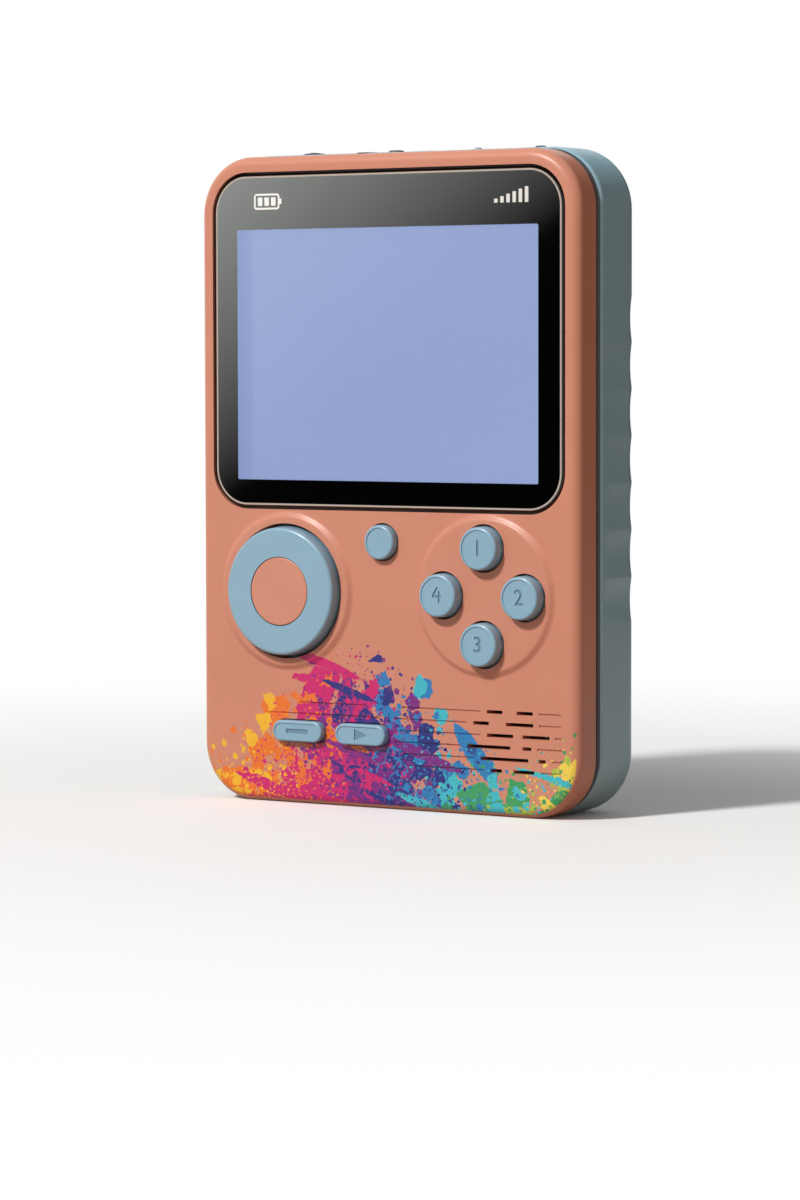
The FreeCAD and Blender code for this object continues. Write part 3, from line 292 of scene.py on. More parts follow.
confetti = {
    "top": 21.0, "swell": 9.0, "swellPerMm": 0.095, "swellStart": 2.2, "fadeMm": 16.0, "ragged": 1.1,
    "edgeDepth": 0.32, "edgeSoft": 0.12, "layersApart": 37.0, "hueWidth": 84.0, "hueMixes": 0.30,
    "keepSoft": 0.01, "dot": (0.13, 0.22, 0.012),  # least reach, how far it varies, softness
    "chip": (0.015, 0.07, 0.006),  # least gap to the next chip, how far it varies, softness
    "colours": (
        (0.00, tone(244, 186, 40)), (0.14, tone(236, 118, 36)), (0.25, tone(206, 28, 110)),
        (0.40, tone(122, 32, 128)), (0.50, tone(34, 38, 124)), (0.60, tone(38, 126, 190)),
        (0.70, tone(64, 190, 206)), (0.80, tone(60, 158, 96)), (0.88, tone(168, 196, 74)),
        (0.97, tone(246, 214, 84)),
    ),
    "layers": (  # chip size, share of the full cover, leaning, stretch, round or broken
        (8.5, 0.62, 0.0, 1.0, "broken"), (5.0, 0.62, 0.6, 1.0, "broken"), (6.5, 0.5, -0.55, 4.5, "round"),
        (5.5, 0.45, 0.7, 4.0, "round"), (2.7, 0.7, 0.2, 1.0, "broken"), (2.2, 0.95, 0.0, 1.0, "round"),
        (1.1, 0.9, 0.4, 1.0, "round"), (3.0, 0.7, 1.25, 9.0, "round"), (0.62, 0.9, 0.9, 1.0, "round"),
    ),
}


def printedConfetti(finish, look, faceY):
    # loose coloured chips, dots and dashes that thin out upwards; each chip is kept or dropped whole
    ragged = finish.noise(0.9, 2.0, 0.6, output="Color")
    shift = finish.vector("SCALE", finish.vector("SUBTRACT", ragged, (0.5, 0.5, 0.5)), Scale=look["ragged"])
    moveX, moveZ, _ = finish.split(shift)
    flatX, flatZ = finish.x + moveX, finish.z + moveZ
    edgeY = faceY + look["edgeDepth"]
    onFace = finish.y.fade(edgeY + look["edgeSoft"], edgeY)
    colour = finish.plain
    inked = 0.0
    for number, (size, share, lean, stretch, kind) in enumerate(look["layers"]):
        c, s = math.cos(lean), math.sin(lean)
        moved = look["layersApart"] * number
        place = finish.join(flatX * c + flatZ * s + moved, (flatZ * c - flatX * s) / stretch)
        centre = finish.cells(place, 1 / size, "Position")
        pick, extent, order = finish.split(finish.cells(place, 1 / size, "Color"))
        centreAlong, centreAcross, _ = finish.split(centre)
        centreAlong, centreAcross = centreAlong - moved, centreAcross * stretch
        chipX = centreAlong * c - centreAcross * s
        chipZ = centreAlong * s + centreAcross * c
        crest = (chipX * look["swellPerMm"] + look["swellStart"]).wave() * look["swell"] + look["top"]
        chance = (crest - chipZ) / look["fadeMm"] * share
        keep = (chance - pick).fade(-look["keepSoft"], look["keepSoft"])
        if kind == "round":
            least, varies, soft = look["dot"]
            reach = finish.cells(place, 1 / size, "Distance")
            body = (reach - (extent * varies + least)).fade(soft, -soft)
        else:
            least, varies, soft = look["chip"]
            edge = finish.cells(place, 1 / size, "Distance", "DISTANCE_TO_EDGE")
            body = (edge - (extent * varies + least)).fade(-soft, soft)
        hue = (chipX / look["hueWidth"] + 0.5 + (order - 0.5) * look["hueMixes"]).smaller(0.999).larger(0.0)
        ink = finish.node("ShaderNodeValToRGB", {"stops": look["colours"]}, {0: hue})
        mask = keep * body * onFace
        colour = finish.mix(mask, colour, ink)
        inked = mask.larger(inked)
    return colour, inked


def fromLensEdge(finish, grown=0.0):  # signed distance in mm to the lens's outline, grown or as it is
    low, high = [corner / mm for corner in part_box("screen_lens")]
    halfWidth, halfHeight = (high.x - low.x) / 2 + grown, (high.z - low.z) / 2 + grown
    return finish.fromFrame(0, (low.z + high.z) / 2, halfWidth, halfHeight, lensLook["corner"] + grown)


def frontPlastic():
    finish = mouldedPlastic("front_salmon_plastic", salmon, Specular_IOR_Level=0.4)
    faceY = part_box("front_shell")[0].y / mm + faceBehindRounds
    colour, inked = printedConfetti(finish, confetti, faceY)
    floorY, soft = faceY + pocket["below"], pocket["soft"]
    inPocket = fromLensEdge(finish, pocket["play"]).fade(0.1, 0.0)
    painted_pocket_shade = inPocket * finish.y.fade(floorY - soft, floorY + soft)
    colour = finish.mix(painted_pocket_shade, colour, pocket["painted_pocket_shade"])  # painted shade in the gap round the lens
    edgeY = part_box("front_shell")[1].y / mm - seam["lip"]
    # painted shade: the salmon side darkens towards the seam
    painted_seam_shade = finish.y.fade(edgeY - seam["front"] - seam["soft"], edgeY - seam["front"])
    finish.colour(finish.mix(painted_seam_shade, colour, seam["dust_and_shade"]))
    scuffs = finish.noise(1.4, 5.0, 0.7)
    finish.rough(salmon["rough"] + (scuffs - 0.5) * 0.10 - inked * 0.06)
    return finish.material


grips = {"worn": (39.2, 40.6), "polish": 0.10}


def rearPlastic(name):
    finish = mouldedPlastic(name, rearBlue)
    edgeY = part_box("rear_shell")[0].y / mm
    # painted shade: the blue rim darkens towards the seam
    painted_seam_shade = finish.y.fade(edgeY + seam["rear"] + seam["soft"], edgeY + seam["rear"])
    finish.colour(finish.mix(painted_seam_shade, finish.plain, seam["dust_and_shade"]))
    spark = finish.noise(2.2, 4.0, 0.7)
    worn = abs(finish.x).fade(*grips["worn"]) * grips["polish"]  # the grips are polished by hands
    finish.rough(rearBlue["rough"] + (spark - 0.5) * 0.12 - worn)
    return finish.material


def buttonPlastic():
    return mouldedPlastic("button_blue_plastic", skyBlue, Coat_Weight=0.4, Coat_Roughness=0.18).material


def capPlastic():
    return mouldedPlastic("cap_salmon_plastic", salmon, Coat_Weight=0.2, Coat_Roughness=0.22).material


# Screen

panelLook = {"colour": tone(138, 155, 201), "pitch": 0.18, "glow": 1.0}


def acrylicLens():
    low, high = [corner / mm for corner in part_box("screen_lens")]
    finish = Finish("lens_acrylic", Roughness=0.05, IOR=1.49)
    edge = fromLensEdge(finish)
    viewW, viewH = lensLook["window"]
    viewZ = high.z - lensLook["windowUp"] - viewH / 2
    start, end = lensLook["backFrom"]  # past here the window is larger, so only its front edge shows
    behind = finish.y.fade(low.y + start, low.y + end) * lensLook["backGrows"]
    window = finish.fromFrame(0, viewZ, viewW / 2, viewH / 2, lensLook["windowCorner"]) - behind
    dust_and_shade = finish.noise(3.0, 4.0, 0.7)
    outer, inner = lensLook["line"]  # a fine pale outline: painted highlight where the lens's bevelled edge catches light
    soft = lensLook["lineSoft"]
    line = edge.fade(-inner - soft, -inner + soft) * edge.fade(-outer + soft, -outer - soft)
    marks = lensMarks(finish, high.z - lensLook["windowUp"] / 2, viewW / 2)
    colour = finish.mix(marks, lensLook["black"], lensLook["mark"])
    finish.colour(finish.mix(line, colour, lensLook["painted_bevel_glint"]))
    finish.rough(0.04 + line * 0.3 + dust_and_shade.fade(0.6, 0.8) * 0.03)
    clear = finish.tree.nodes.new("ShaderNodeBsdfPrincipled")
    for socket, value in (("Transmission Weight", 1.0), ("IOR", 1.2), ("Roughness", 0.0)):
        clear.inputs[socket].default_value = value
    clear.inputs["Base Color"].default_value = (1, 1, 1, 1)
    soft = lensLook["windowSoft"]
    finish.showThrough(window.fade(soft, -soft), clear)
    return finish.material


batteryMark = {"in": 6.5, "case": (2.6, 1.25, 0.4), "stroke": (0.20, 0.14), "nubAside": 2.95,
               "nub": (0.28, 0.5, 0.1), "cellStep": 1.45, "cell": (0.5, 0.75, 0.1)}
volumeMark = {"in": 8.6, "bars": 6, "step": 1.25, "foot": 1.25, "half": 0.36, "corner": 0.12,
              "shortest": 0.35, "taller": 0.2}


def lensMarks(finish, z, halfWidth):
    # a battery outline on the left and rising volume bars on the right
    soft = lensLook["windowSoft"]
    x = batteryMark["in"] - halfWidth
    marks = abs(finish.fromFrame(x, z, *batteryMark["case"])).fade(*batteryMark["stroke"])
    filled = [(x + batteryMark["nubAside"], z, *batteryMark["nub"])]
    for cell in (-1, 0, 1):
        filled.append((x + batteryMark["cellStep"] * cell, z, *batteryMark["cell"]))
    for bar in range(volumeMark["bars"]):
        tall = volumeMark["shortest"] + volumeMark["taller"] * bar
        barX = halfWidth - volumeMark["in"] + volumeMark["step"] * bar
        filled.append((barX, z - volumeMark["foot"] + tall, volumeMark["half"], tall, volumeMark["corner"]))
    for shape in filled:
        marks = marks.larger(finish.fromFrame(*shape).fade(soft, -soft))
    return marks


def litPanel():
    finish = Finish("lcd_lit_panel", Roughness=0.25, Base_Color=tone(20, 22, 30))
    column = finish.x.repeat(panelLook["pitch"]).fade(0.0, 0.02)
    row = finish.z.repeat(panelLook["pitch"]).fade(0.0, 0.02)
    cloud = finish.noise(0.02, 1.0)
    screen = (column * row) * 0.02 + cloud * 0.05 + 0.95
    lit = finish.mix(screen, (0, 0, 0, 1), panelLook["colour"])
    finish.feed(finish.shader.inputs["Emission Color"], lit)
    finish.shader.inputs["Emission Strength"].default_value = panelLook["glow"]
    return finish.material


print("case and screen finishes written")


# Finishes of the parts inside

def blackFoam(name, colour=tone(38, 38, 40)):
    finish = Finish(name, Roughness=0.95)
    pores = finish.noise(4.0, 4.0, 0.75)
    finish.colour(finish.mix(pores, tone(14, 14, 15), colour))
    finish.bump(pores, 0.08)
    return finish.material


def wovenTape(name, colour):
    finish = Finish(name, Roughness=0.8)
    weave = (finish.x * 9.0).wave() * (finish.z * 9.0).wave()
    finish.colour(finish.mix(weave * 0.5 + 0.5, tone(16, 16, 17), colour))
    finish.bump(weave, 0.02)
    return finish.material


def darkened(colour, share):
    return (*[channel * share for channel in colour[:3]], 1.0)


def satinPlastic(name, colour, rough=0.45, perMm=3.0):
    finish = Finish(name)
    cloud = finish.noise(0.25, 4.0, 0.6)
    grain = finish.noise(perMm, 3.0, 0.65)
    finish.colour(finish.mix(cloud, darkened(colour, 0.8), colour))
    finish.rough(rough + (grain - 0.5) * 0.18)
    finish.bump(grain, 0.02)
    return finish.material


def brushedMetal(name, colour, rough=0.32, stretch=(0.15, 2.0, 6.0)):
    finish = Finish(name, Metallic=1.0)
    brush = finish.noise(2.2, 3.0, 0.7, stretch=stretch)
    stain = finish.noise(0.2, 3.0, 0.6)
    finish.colour(finish.mix(stain, darkened(colour, 0.72), colour))
    finish.rough(rough + (brush - 0.5) * 0.22)
    finish.bump(brush, 0.01)
    return finish.material


boardLook = {"runPitch": 0.9, "runEdge": (0.24, 0.18), "fieldsPerMm": 0.12, "bareFields": (0.25, 0.3),
             "holesPerMm": 0.22, "hole": (0.10, 0.08), "ring": (0.19, 0.17), "green": tone(16, 84, 52),
             "runGreen": tone(30, 118, 70), "deepGreen": tone(10, 66, 44), "plating": tone(206, 176, 96),
             "hollow": tone(14, 18, 14)}


def boardLaminate():
    # green solder mask over copper runs, upright or level from field to field, with plated holes
    finish = Finish("board_green_laminate", Roughness=0.35)
    flat = finish.join(finish.x, finish.z)
    turn, offset, _ = finish.split(finish.cells(flat, boardLook["fieldsPerMm"], "Color", loose=0.0))
    pitch = boardLook["runPitch"]
    upright = turn.fade(0.49, 0.51)
    run = finish.x.repeat(pitch) / pitch * upright + finish.z.repeat(pitch) / pitch * (1 - upright)
    copper = abs(run - 0.5).fade(*boardLook["runEdge"]) * offset.fade(*boardLook["bareFields"])
    reach = finish.cells(flat, boardLook["holesPerMm"], "Distance", loose=0.9)
    hole = reach.fade(*boardLook["hole"])
    ring = reach.fade(*boardLook["ring"])
    blotch = finish.noise(0.3, 4.0, 0.6)
    mask = finish.mix(copper, boardLook["green"], boardLook["runGreen"])
    mask = finish.mix(blotch * 0.3, mask, boardLook["deepGreen"])
    finish.colour(finish.mix(hole, finish.mix(ring, mask, boardLook["plating"]), boardLook["hollow"]))
    finish.rough(0.32 + blotch * 0.1 - ring * 0.1)
    finish.bump(copper * 0.6 + ring * 0.4 - hole, 0.05)
    return finish.material


def flexFilm():
    finish = Finish("flex_amber_film", Roughness=0.3)
    stripe = abs(finish.x.repeat(0.8) - 0.4).fade(0.26, 0.2)
    wear = finish.noise(0.8, 3.0)
    finish.colour(finish.mix(stripe, tone(196, 128, 34), tone(150, 84, 26)))
    finish.rough(0.25 + wear * 0.15)
    finish.bump(stripe, 0.02)
    return finish.material


def siliconeSheet():
    finish = Finish("keypad_silicone", Subsurface_Weight=0.05)
    powder = finish.noise(1.6, 5.0, 0.7)
    finish.colour(finish.mix(powder, tone(176, 178, 180), tone(204, 206, 208)))
    finish.rough(0.55 + powder * 0.2)
    finish.bump(powder, 0.015)
    return finish.material


def chipEpoxy():
    finish = Finish("chip_black_epoxy")
    grit = finish.noise(7.0, 4.0, 0.7)
    finish.colour(finish.mix(grit, tone(24, 24, 26), tone(46, 46, 48)))
    finish.rough(0.55 + grit * 0.15)
    finish.bump(grit, 0.015)
    return finish.material


def capacitorCan():
    # bare aluminium tops and dark sleeved sides
    finish = Finish("capacitor_can")
    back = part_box("board_capacitors")[1].y / mm
    top = finish.y.fade(back - 0.05, back - 0.02)
    brush = finish.noise(3.0, 3.0, 0.7, stretch=(1, 1, 5))
    finish.colour(finish.mix(top, tone(36, 40, 62), tone(196, 198, 200)))
    finish.feed(finish.shader.inputs["Metallic"], top)
    finish.rough(0.28 + brush * 0.18)
    finish.bump(brush, 0.01)
    return finish.material


def batteryWrap():
    # a plain grey film with a folded edge and a paler end at the contacts
    finish = Finish("battery_film_wrap")
    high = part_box("battery")[1] / mm
    crease = finish.noise(0.35, 5.0, 0.6)
    band = finish.z.fade(high.z - 7.2, high.z - 7.0)
    fold = abs(finish.x - (high.x - 6.0)).fade(0.35, 0.25)
    film = finish.mix(crease, tone(62, 74, 92), tone(84, 98, 118))
    finish.colour(finish.mix(band.larger(fold * 0.4), film, tone(196, 186, 140)))
    finish.rough(0.3 + crease * 0.2)
    finish.bump(crease + fold * 0.3, 0.12)
    return finish.material


def paperCone():
    finish = Finish("speaker_cone_film", Roughness=0.5)
    centre = sum(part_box("speaker_cone"), Vector()) / 2 / mm
    reach = finish.length(finish.join(finish.x - centre.x, finish.z - centre.z))
    rib = (reach * 5.2).wave()
    fibre = finish.noise(3.0, 4.0, 0.7)
    finish.colour(finish.mix(fibre, tone(44, 42, 40), tone(72, 68, 64)))
    finish.bump(rib * 0.7 + fibre * 0.3, 0.06)
    return finish.material


def wireInsulation():
    finish = Finish("lead_insulation", Roughness=0.4)
    centre = sum(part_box("speaker_leads"), Vector()) / 2 / mm
    side = finish.x.fade(centre.x - 0.1, centre.x + 0.1)
    dull = finish.noise(2.0, 3.0)
    finish.colour(finish.mix(side, tone(176, 26, 22), tone(26, 26, 28)))
    finish.rough(0.35 + dull * 0.15)
    return finish.material


def clearPipe():
    finish = Finish("light_pipe_clear", Roughness=0.12, IOR=1.49, Transmission_Weight=0.6)
    haze = finish.noise(2.0, 3.0)
    finish.colour(finish.mix(haze, tone(206, 214, 218), tone(232, 236, 238)))
    finish.bump(haze, 0.01)
    return finish.material


steel = tone(196, 198, 202)
finishes = {
    "front_shell_plastic": frontPlastic(),
    "rear_shell_plastic": rearPlastic("rear_blue_plastic"),
    "door_plastic": rearPlastic("door_blue_plastic"),
    "lens_acrylic": acrylicLens(),
    "tape": wovenTape("lens_tape_black", tone(40, 40, 42)),
    "gasket_foam": blackFoam("gasket_foam"),
    "lcd_glass": litPanel(),
    "backlight": satinPlastic("backlight_white", tone(236, 238, 240), 0.5, 6.0),
    "lcd_steel": brushedMetal("lcd_pressed_steel", steel),
    "flex_film": flexFilm(),
    "foam_tape": blackFoam("foam_tape", tone(62, 62, 64)),
    "button_plastic": buttonPlastic(),
    "cap_plastic": capPlastic(),
    "pivot_plastic": satinPlastic("pivot_natural_plastic", tone(226, 224, 214), 0.35),
    "keypad_silicone": siliconeSheet(),
    "gold_contacts": brushedMetal("gold_plate", tone(238, 200, 120), 0.25),
    "board_laminate": boardLaminate(),
    "chip_epoxy": chipEpoxy(),
    "capacitor_can": capacitorCan(),
    "pot_body": satinPlastic("pot_black_plastic", tone(44, 44, 46)),
    "wheel_plastic": satinPlastic("wheel_grey_plastic", tone(74, 84, 94), 0.5, 5.0),
    "switch_steel": brushedMetal("switch_steel", steel, 0.3),
    "slider_plastic": satinPlastic("slider_grey_plastic", tone(74, 84, 94), 0.5, 5.0),
    "jack_plastic": satinPlastic("jack_black_plastic", tone(36, 36, 38), 0.4),
    "port_steel": brushedMetal("port_steel", tone(206, 208, 210), 0.28, (6.0, 2.0, 0.2)),
    "light_pipe_plastic": clearPipe(),
    "reset_plastic": satinPlastic("reset_grey_plastic", tone(78, 88, 98), 0.5, 5.0),
    "tact_body": brushedMetal("tact_switch_steel", steel, 0.35),
    "speaker_steel": brushedMetal("speaker_basket_steel", tone(176, 178, 182), 0.4),
    "cone_film": paperCone(),
    "magnet_steel": brushedMetal("magnet_plated_steel", tone(206, 206, 204), 0.2, (3, 3, 3)),
    "speaker_foam": blackFoam("speaker_ring_foam"),
    "lead_insulation": wireInsulation(),
    "battery_wrap": batteryWrap(),
    "terminal_metal": brushedMetal("terminal_nickel", tone(214, 208, 192), 0.25),
    "screw_steel": brushedMetal("screw_zinc_steel", tone(186, 188, 192), 0.3, (2, 2, 2)),
}
print("finishes made:", len(finishes))


# Turning CAD solids into smooth pieces

weldReach = 0.0004 * mm
facingPlayer = Matrix.Rotation(math.pi / 2, 4, "X")


def weld(mesh, outwards=False):  # corners closer than the reach become one
    shape = bmesh.new()
    shape.from_mesh(mesh)
    bmesh.ops.remove_doubles(shape, verts=shape.verts, dist=weldReach)
    if outwards:
        bmesh.ops.recalc_face_normals(shape, faces=shape.faces)
    shape.to_mesh(mesh)
    shape.free()


def mergedCopy(node):
    source = nodes[node].data
    mesh = bpy.data.meshes.new(node + "_merged")
    mesh.from_pydata([v.co for v in source.vertices], [], [tuple(p.vertices) for p in source.polygons])
    weld(mesh, outwards=True)
    return addObject(node + "_dressed", mesh)


def addObject(name, data):
    made = bpy.data.objects.new(name, data)
    bpy.context.scene.collection.objects.link(made)
    return made


def shapeOf(thing):  # the shape after its modifiers, as a plain mesh
    graph = bpy.context.evaluated_depsgraph_get()
    return bpy.data.meshes.new_from_object(thing.evaluated_get(graph), depsgraph=graph)


def baked(thing):
    mesh = shapeOf(thing)
    thing.modifiers.clear()
    thing.data = mesh
    return thing


def smooth(thing, angle=32):
    mesh = thing.data
    mesh.polygons.foreach_set("use_smooth", [True] * len(mesh.polygons))
    mesh.set_sharp_from_angle(angle=math.radians(angle))
    weigh = thing.modifiers.new("weigh", "WEIGHTED_NORMAL")
    weigh.keep_sharp = True
    weigh.weight = 100
    return baked(thing)


def takePlace(thing, node):
    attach(thing, bodyOf[node])
    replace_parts(thing, node)


plainPieces = (
    "front_shell", "rear_shell", "battery_door", "screen_lens", "direction_pad", "pad_centre_cap",
    "menu_round_button", "volume_wheel", "power_slider", "reset_button", "power_light_pipe", "av_jack",
    "charge_port", "player_two_port", "battery", "pad_pivot_ball", "speaker_frame", "speaker_cone",
    "speaker_magnet", "speaker_leads", "board_capacitors", "battery_terminals", "volume_pot",
)
for node in plainPieces:
    piece = smooth(mergedCopy(node))
    piece.data.materials.append(finishes[slotOf[node]])
    takePlace(piece, node)
print("smooth pieces:", len(plainPieces))


# Engraved buttons

engraving = {
    "figureHeight": 3.9, "bolder": 0.03, "depth": 0.16, "dish": 0.15, "cutterHalf": 0.5, "rounding": 6,
    # the darker blue of the cut faces is painted shade inside the engraving
    "colour": tone(112, 148, 172),
    "figures": (("face_button_top", "1"), ("face_button_right", "2"), ("face_button_bottom", "3")),
}
engravedShapes = {  # (x, z) points in mm, seen from the front: an open figure 4, a bar and an arrow
    "face_button_left": [(-0.1, 1.5), (-1.0, 0.05), (-1.0, -0.3), (0.25, -0.3), (0.25, -1.2), (0.6, -1.2),
                         (0.6, -0.3), (0.9, -0.3), (0.9, 0.05), (0.6, 0.05), (0.6, 0.8), (0.25, 0.8),
                         (0.25, 0.05), (-0.57, 0.05), (0.31, 1.5)],
    "menu_left_button": [(-2.2, -0.4), (2.2, -0.4), (2.5, 0.0), (2.2, 0.4), (-2.2, 0.4), (-2.5, 0.0)],
    "menu_right_button": [(-1.2, -1.0), (1.5, 0.0), (-1.2, 1.0)],
}


def figureCutter(text, centre, height):
    curve = bpy.data.curves.new("figure", "FONT")
    curve.body = text
    curve.size = height * mm
    curve.align_x = "CENTER"
    curve.align_y = "CENTER"
    curve.extrude = engraving["cutterHalf"] * mm
    curve.offset = engraving["bolder"] * mm
    curve.resolution_u = engraving["rounding"]
    thing = addObject("figure", curve)
    mesh = shapeOf(thing)
    bpy.data.objects.remove(thing)
    weld(mesh)
    mesh.transform(Matrix.Translation(centre) @ facingPlayer)
    return addObject("figure_cutter", mesh)


def outlineCutter(outline, centre):
    # a flat shape, seen from the front, made into a cutter
    shape = bmesh.new()
    half = engraving["cutterHalf"]
    rings = [[shape.verts.new(centre + Vector((x, y, z)) * mm) for x, z in outline] for y in (-half, half)]
    count = len(outline)
    shape.faces.new(rings[0])
    shape.faces.new(list(reversed(rings[1])))
    for i in range(count):
        j = (i + 1) % count
        shape.faces.new((rings[0][j], rings[0][i], rings[1][i], rings[1][j]))
    bmesh.ops.recalc_face_normals(shape, faces=shape.faces)
    mesh = bpy.data.meshes.new("mark_cutter")
    shape.to_mesh(mesh)
    shape.free()
    return addObject("mark_cutter", mesh)


def carved(node, cutter, cutLook, operation="DIFFERENCE"):
    # the cut faces take the cutter's own finish
    piece = mergedCopy(node)
    piece.data.materials.append(finishes[slotOf[node]])
    cutter.data.materials.clear()
    cutter.data.materials.append(cutLook)
    carve = piece.modifiers.new("carve", "BOOLEAN")
    carve.material_mode = "TRANSFER"
    carve.operation = operation
    carve.object = cutter
    carve.solver = "EXACT"
    carve.use_self = True
    baked(piece)
    bpy.data.objects.remove(cutter)
    weld(piece.data)
    smooth(piece, 28)
    takePlace(piece, node)
    return piece


def topOf(node):
    low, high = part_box(node)
    # the middle of the recessed top, moved so that the cutter bites in by the engraving's depth
    bite = low.y + (engraving["dish"] + engraving["depth"] - engraving["cutterHalf"]) * mm
    return Vector(((low.x + high.x) / 2, bite, (low.z + high.z) / 2))


# the cut faces take a darker blue: painted shade in the engraved figures and marks
paintedEngravingShade = satinPlastic("engraving_painted_shade", engraving["colour"], 0.5)
for node, figure in engraving["figures"]:
    carved(node, figureCutter(figure, topOf(node), engraving["figureHeight"]), paintedEngravingShade)
for node, outline in engravedShapes.items():
    carved(node, outlineCutter(outline, topOf(node)), paintedEngravingShade)
print("buttons engraved")


# Repeated small parts, from geometry nodes

class Grower:  # one geometry node tree
    def __init__(self, name, sizes):
        self.tree = bpy.data.node_groups.new(name, "GeometryNodeTree")
        self.sockets = {}
        for label, value in sizes.items():
            kind = "NodeSocketInt" if isinstance(value, int) else "NodeSocketFloat"
            made = self.tree.interface.new_socket(label, in_out="INPUT", socket_type=kind)
            made.default_value = value
            self.sockets[label] = made.identifier
        self.tree.interface.new_socket("Geometry", in_out="OUTPUT", socket_type="NodeSocketGeometry")
        self.inputs = self.tree.nodes.new("NodeGroupInput")
        self.result = self.tree.nodes.new("NodeGroupOutput")
        self.sizes = sizes
        self.objects = {}

    def add(self, kind, settings=None, inputs=None):
        made = self.tree.nodes.new(kind)
        for name, value in (settings or {}).items():
            setattr(made, name, value)
        for key, value in (inputs or {}).items():
            if isinstance(value, str):
                value = self.inputs.outputs[value]
            if isinstance(value, bpy.types.Node):
                value = value.outputs[0]
            if isinstance(value, bpy.types.NodeSocket):
                self.tree.links.new(value, made.inputs[key])
            else:
                made.inputs[key].default_value = value
        return made

    def grow(self, name, last, material, place):
        real = self.add("GeometryNodeRealizeInstances", inputs={0: last})
        painted = self.add("GeometryNodeSetMaterial", inputs={0: real, "Material": material})
        self.tree.links.new(painted.outputs[0], self.result.inputs[0])
        thing = addObject(name, bpy.data.meshes.new(name))
        modifier = thing.modifiers.new("grow", "NODES")
        modifier.node_group = self.tree
        for label, value in self.sizes.items():
            modifier[self.sockets[label]] = value
        for identifier, other in self.objects.items():
            modifier[identifier] = other
        baked(thing)
        thing.data.transform(place)
        return thing


dustMesh = {"radius": 7.3 * mm, "pitch": 0.62 * mm, "open": 0.72, "thickness": 0.1 * mm, "wall": 2.4 * mm,
            "gridWide": 2.2, "weld": 0.001 * mm}


def speakerMesh():
    # a hexagon mesh: a triangle grid turned into its dual, each cell opened in the middle
    g = Grower("perforated disc", {"Radius": dustMesh["radius"], "Pitch": dustMesh["pitch"],
                                   "Open Share": dustMesh["open"], "Thickness": dustMesh["thickness"]})
    across = g.add("ShaderNodeMath", {"operation": "MULTIPLY"}, {0: "Radius", 1: dustMesh["gridWide"]})
    count = g.add("ShaderNodeMath", {"operation": "DIVIDE"}, {0: across, 1: "Pitch"})
    grid = g.add("GeometryNodeMeshGrid", inputs={"Size X": across, "Size Y": across,
                                                 "Vertices X": count, "Vertices Y": count})
    thirds = g.add("GeometryNodeTriangulate", inputs={0: grid})
    hexes = g.add("GeometryNodeDualMesh", inputs={0: thirds})
    where = g.add("GeometryNodeInputPosition")
    reach = g.add("ShaderNodeVectorMath", {"operation": "LENGTH"}, {0: where})
    outside = g.add("FunctionNodeCompare", {"operation": "GREATER_THAN"},
                    {0: reach.outputs["Value"], 1: "Radius"})
    disc = g.add("GeometryNodeDeleteGeometry", {"domain": "FACE"}, {0: hexes, "Selection": outside})
    inner = g.add("GeometryNodeExtrudeMesh", {"mode": "FACES"},
                  {"Mesh": disc, "Offset Scale": 0.0, "Individual": True})
    shrunk = g.add("GeometryNodeScaleElements", {"domain": "FACE"},
                   {"Geometry": inner, "Selection": inner.outputs["Top"], "Scale": "Open Share"})
    opened = g.add("GeometryNodeDeleteGeometry", {"domain": "FACE"},
                   {0: shrunk, "Selection": inner.outputs["Top"]})
    thick = g.add("GeometryNodeExtrudeMesh", {"mode": "FACES"},
                  {"Mesh": opened, "Offset Scale": "Thickness", "Individual": False})
    under = g.add("GeometryNodeFlipFaces", inputs={0: opened})
    both = g.add("GeometryNodeJoinGeometry")
    g.tree.links.new(under.outputs[0], both.inputs[0])
    g.tree.links.new(thick.outputs[0], both.inputs[0])
    whole = g.add("GeometryNodeMergeByDistance", inputs={0: both, "Distance": dustMesh["weld"]})
    cone = sum(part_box("speaker_cone"), Vector()) / 2
    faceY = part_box("front_shell")[0].y + faceBehindRounds * mm
    place = Matrix.Translation((cone.x, faceY + dustMesh["wall"] + dustMesh["thickness"], cone.z))
    return g.grow("speaker_dust_mesh", whole, finishes["speaker_foam"], place @ facingPlayer)


contactStrip = {"count": 5, "pitch": 0.95 * mm, "width": 0.5 * mm, "length": 3.2 * mm,
                "thickness": 0.06 * mm, "below": 1.5 * mm, "behindMouth": 1.7 * mm}


def socketContacts(node):
    # gold strips side by side on the tongue's face that looks at the player
    g = Grower(node + " contacts", {"Count": contactStrip["count"], "Pitch": contactStrip["pitch"],
                                    "Width": contactStrip["width"], "Length": contactStrip["length"],
                                    "Thickness": contactStrip["thickness"]})
    step = g.add("ShaderNodeCombineXYZ", inputs={0: "Pitch"})
    line = g.add("GeometryNodeMeshLine", inputs={"Count": "Count", "Offset": step})
    size = g.add("ShaderNodeCombineXYZ", inputs={0: "Width", 1: "Thickness", 2: "Length"})
    strip = g.add("GeometryNodeMeshCube", inputs={"Size": size})
    strips = g.add("GeometryNodeInstanceOnPoints", inputs={"Points": line, "Instance": strip})
    low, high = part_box(node)
    half = (contactStrip["count"] - 1) / 2 * contactStrip["pitch"]
    place = Matrix.Translation(((low.x + high.x) / 2 - half, high.y - contactStrip["behindMouth"],
                                high.z - contactStrip["below"] - contactStrip["length"] / 2))
    return g.grow(node + "_contacts", strips, finishes["gold_contacts"], place)


screwHead = {"case_screws": {"arm": 2.3 * mm, "slot": 0.55 * mm, "depth": 0.7 * mm, "seed": 7},
             "board_screws": {"arm": 1.9 * mm, "slot": 0.5 * mm, "depth": 0.45 * mm, "seed": 7}}


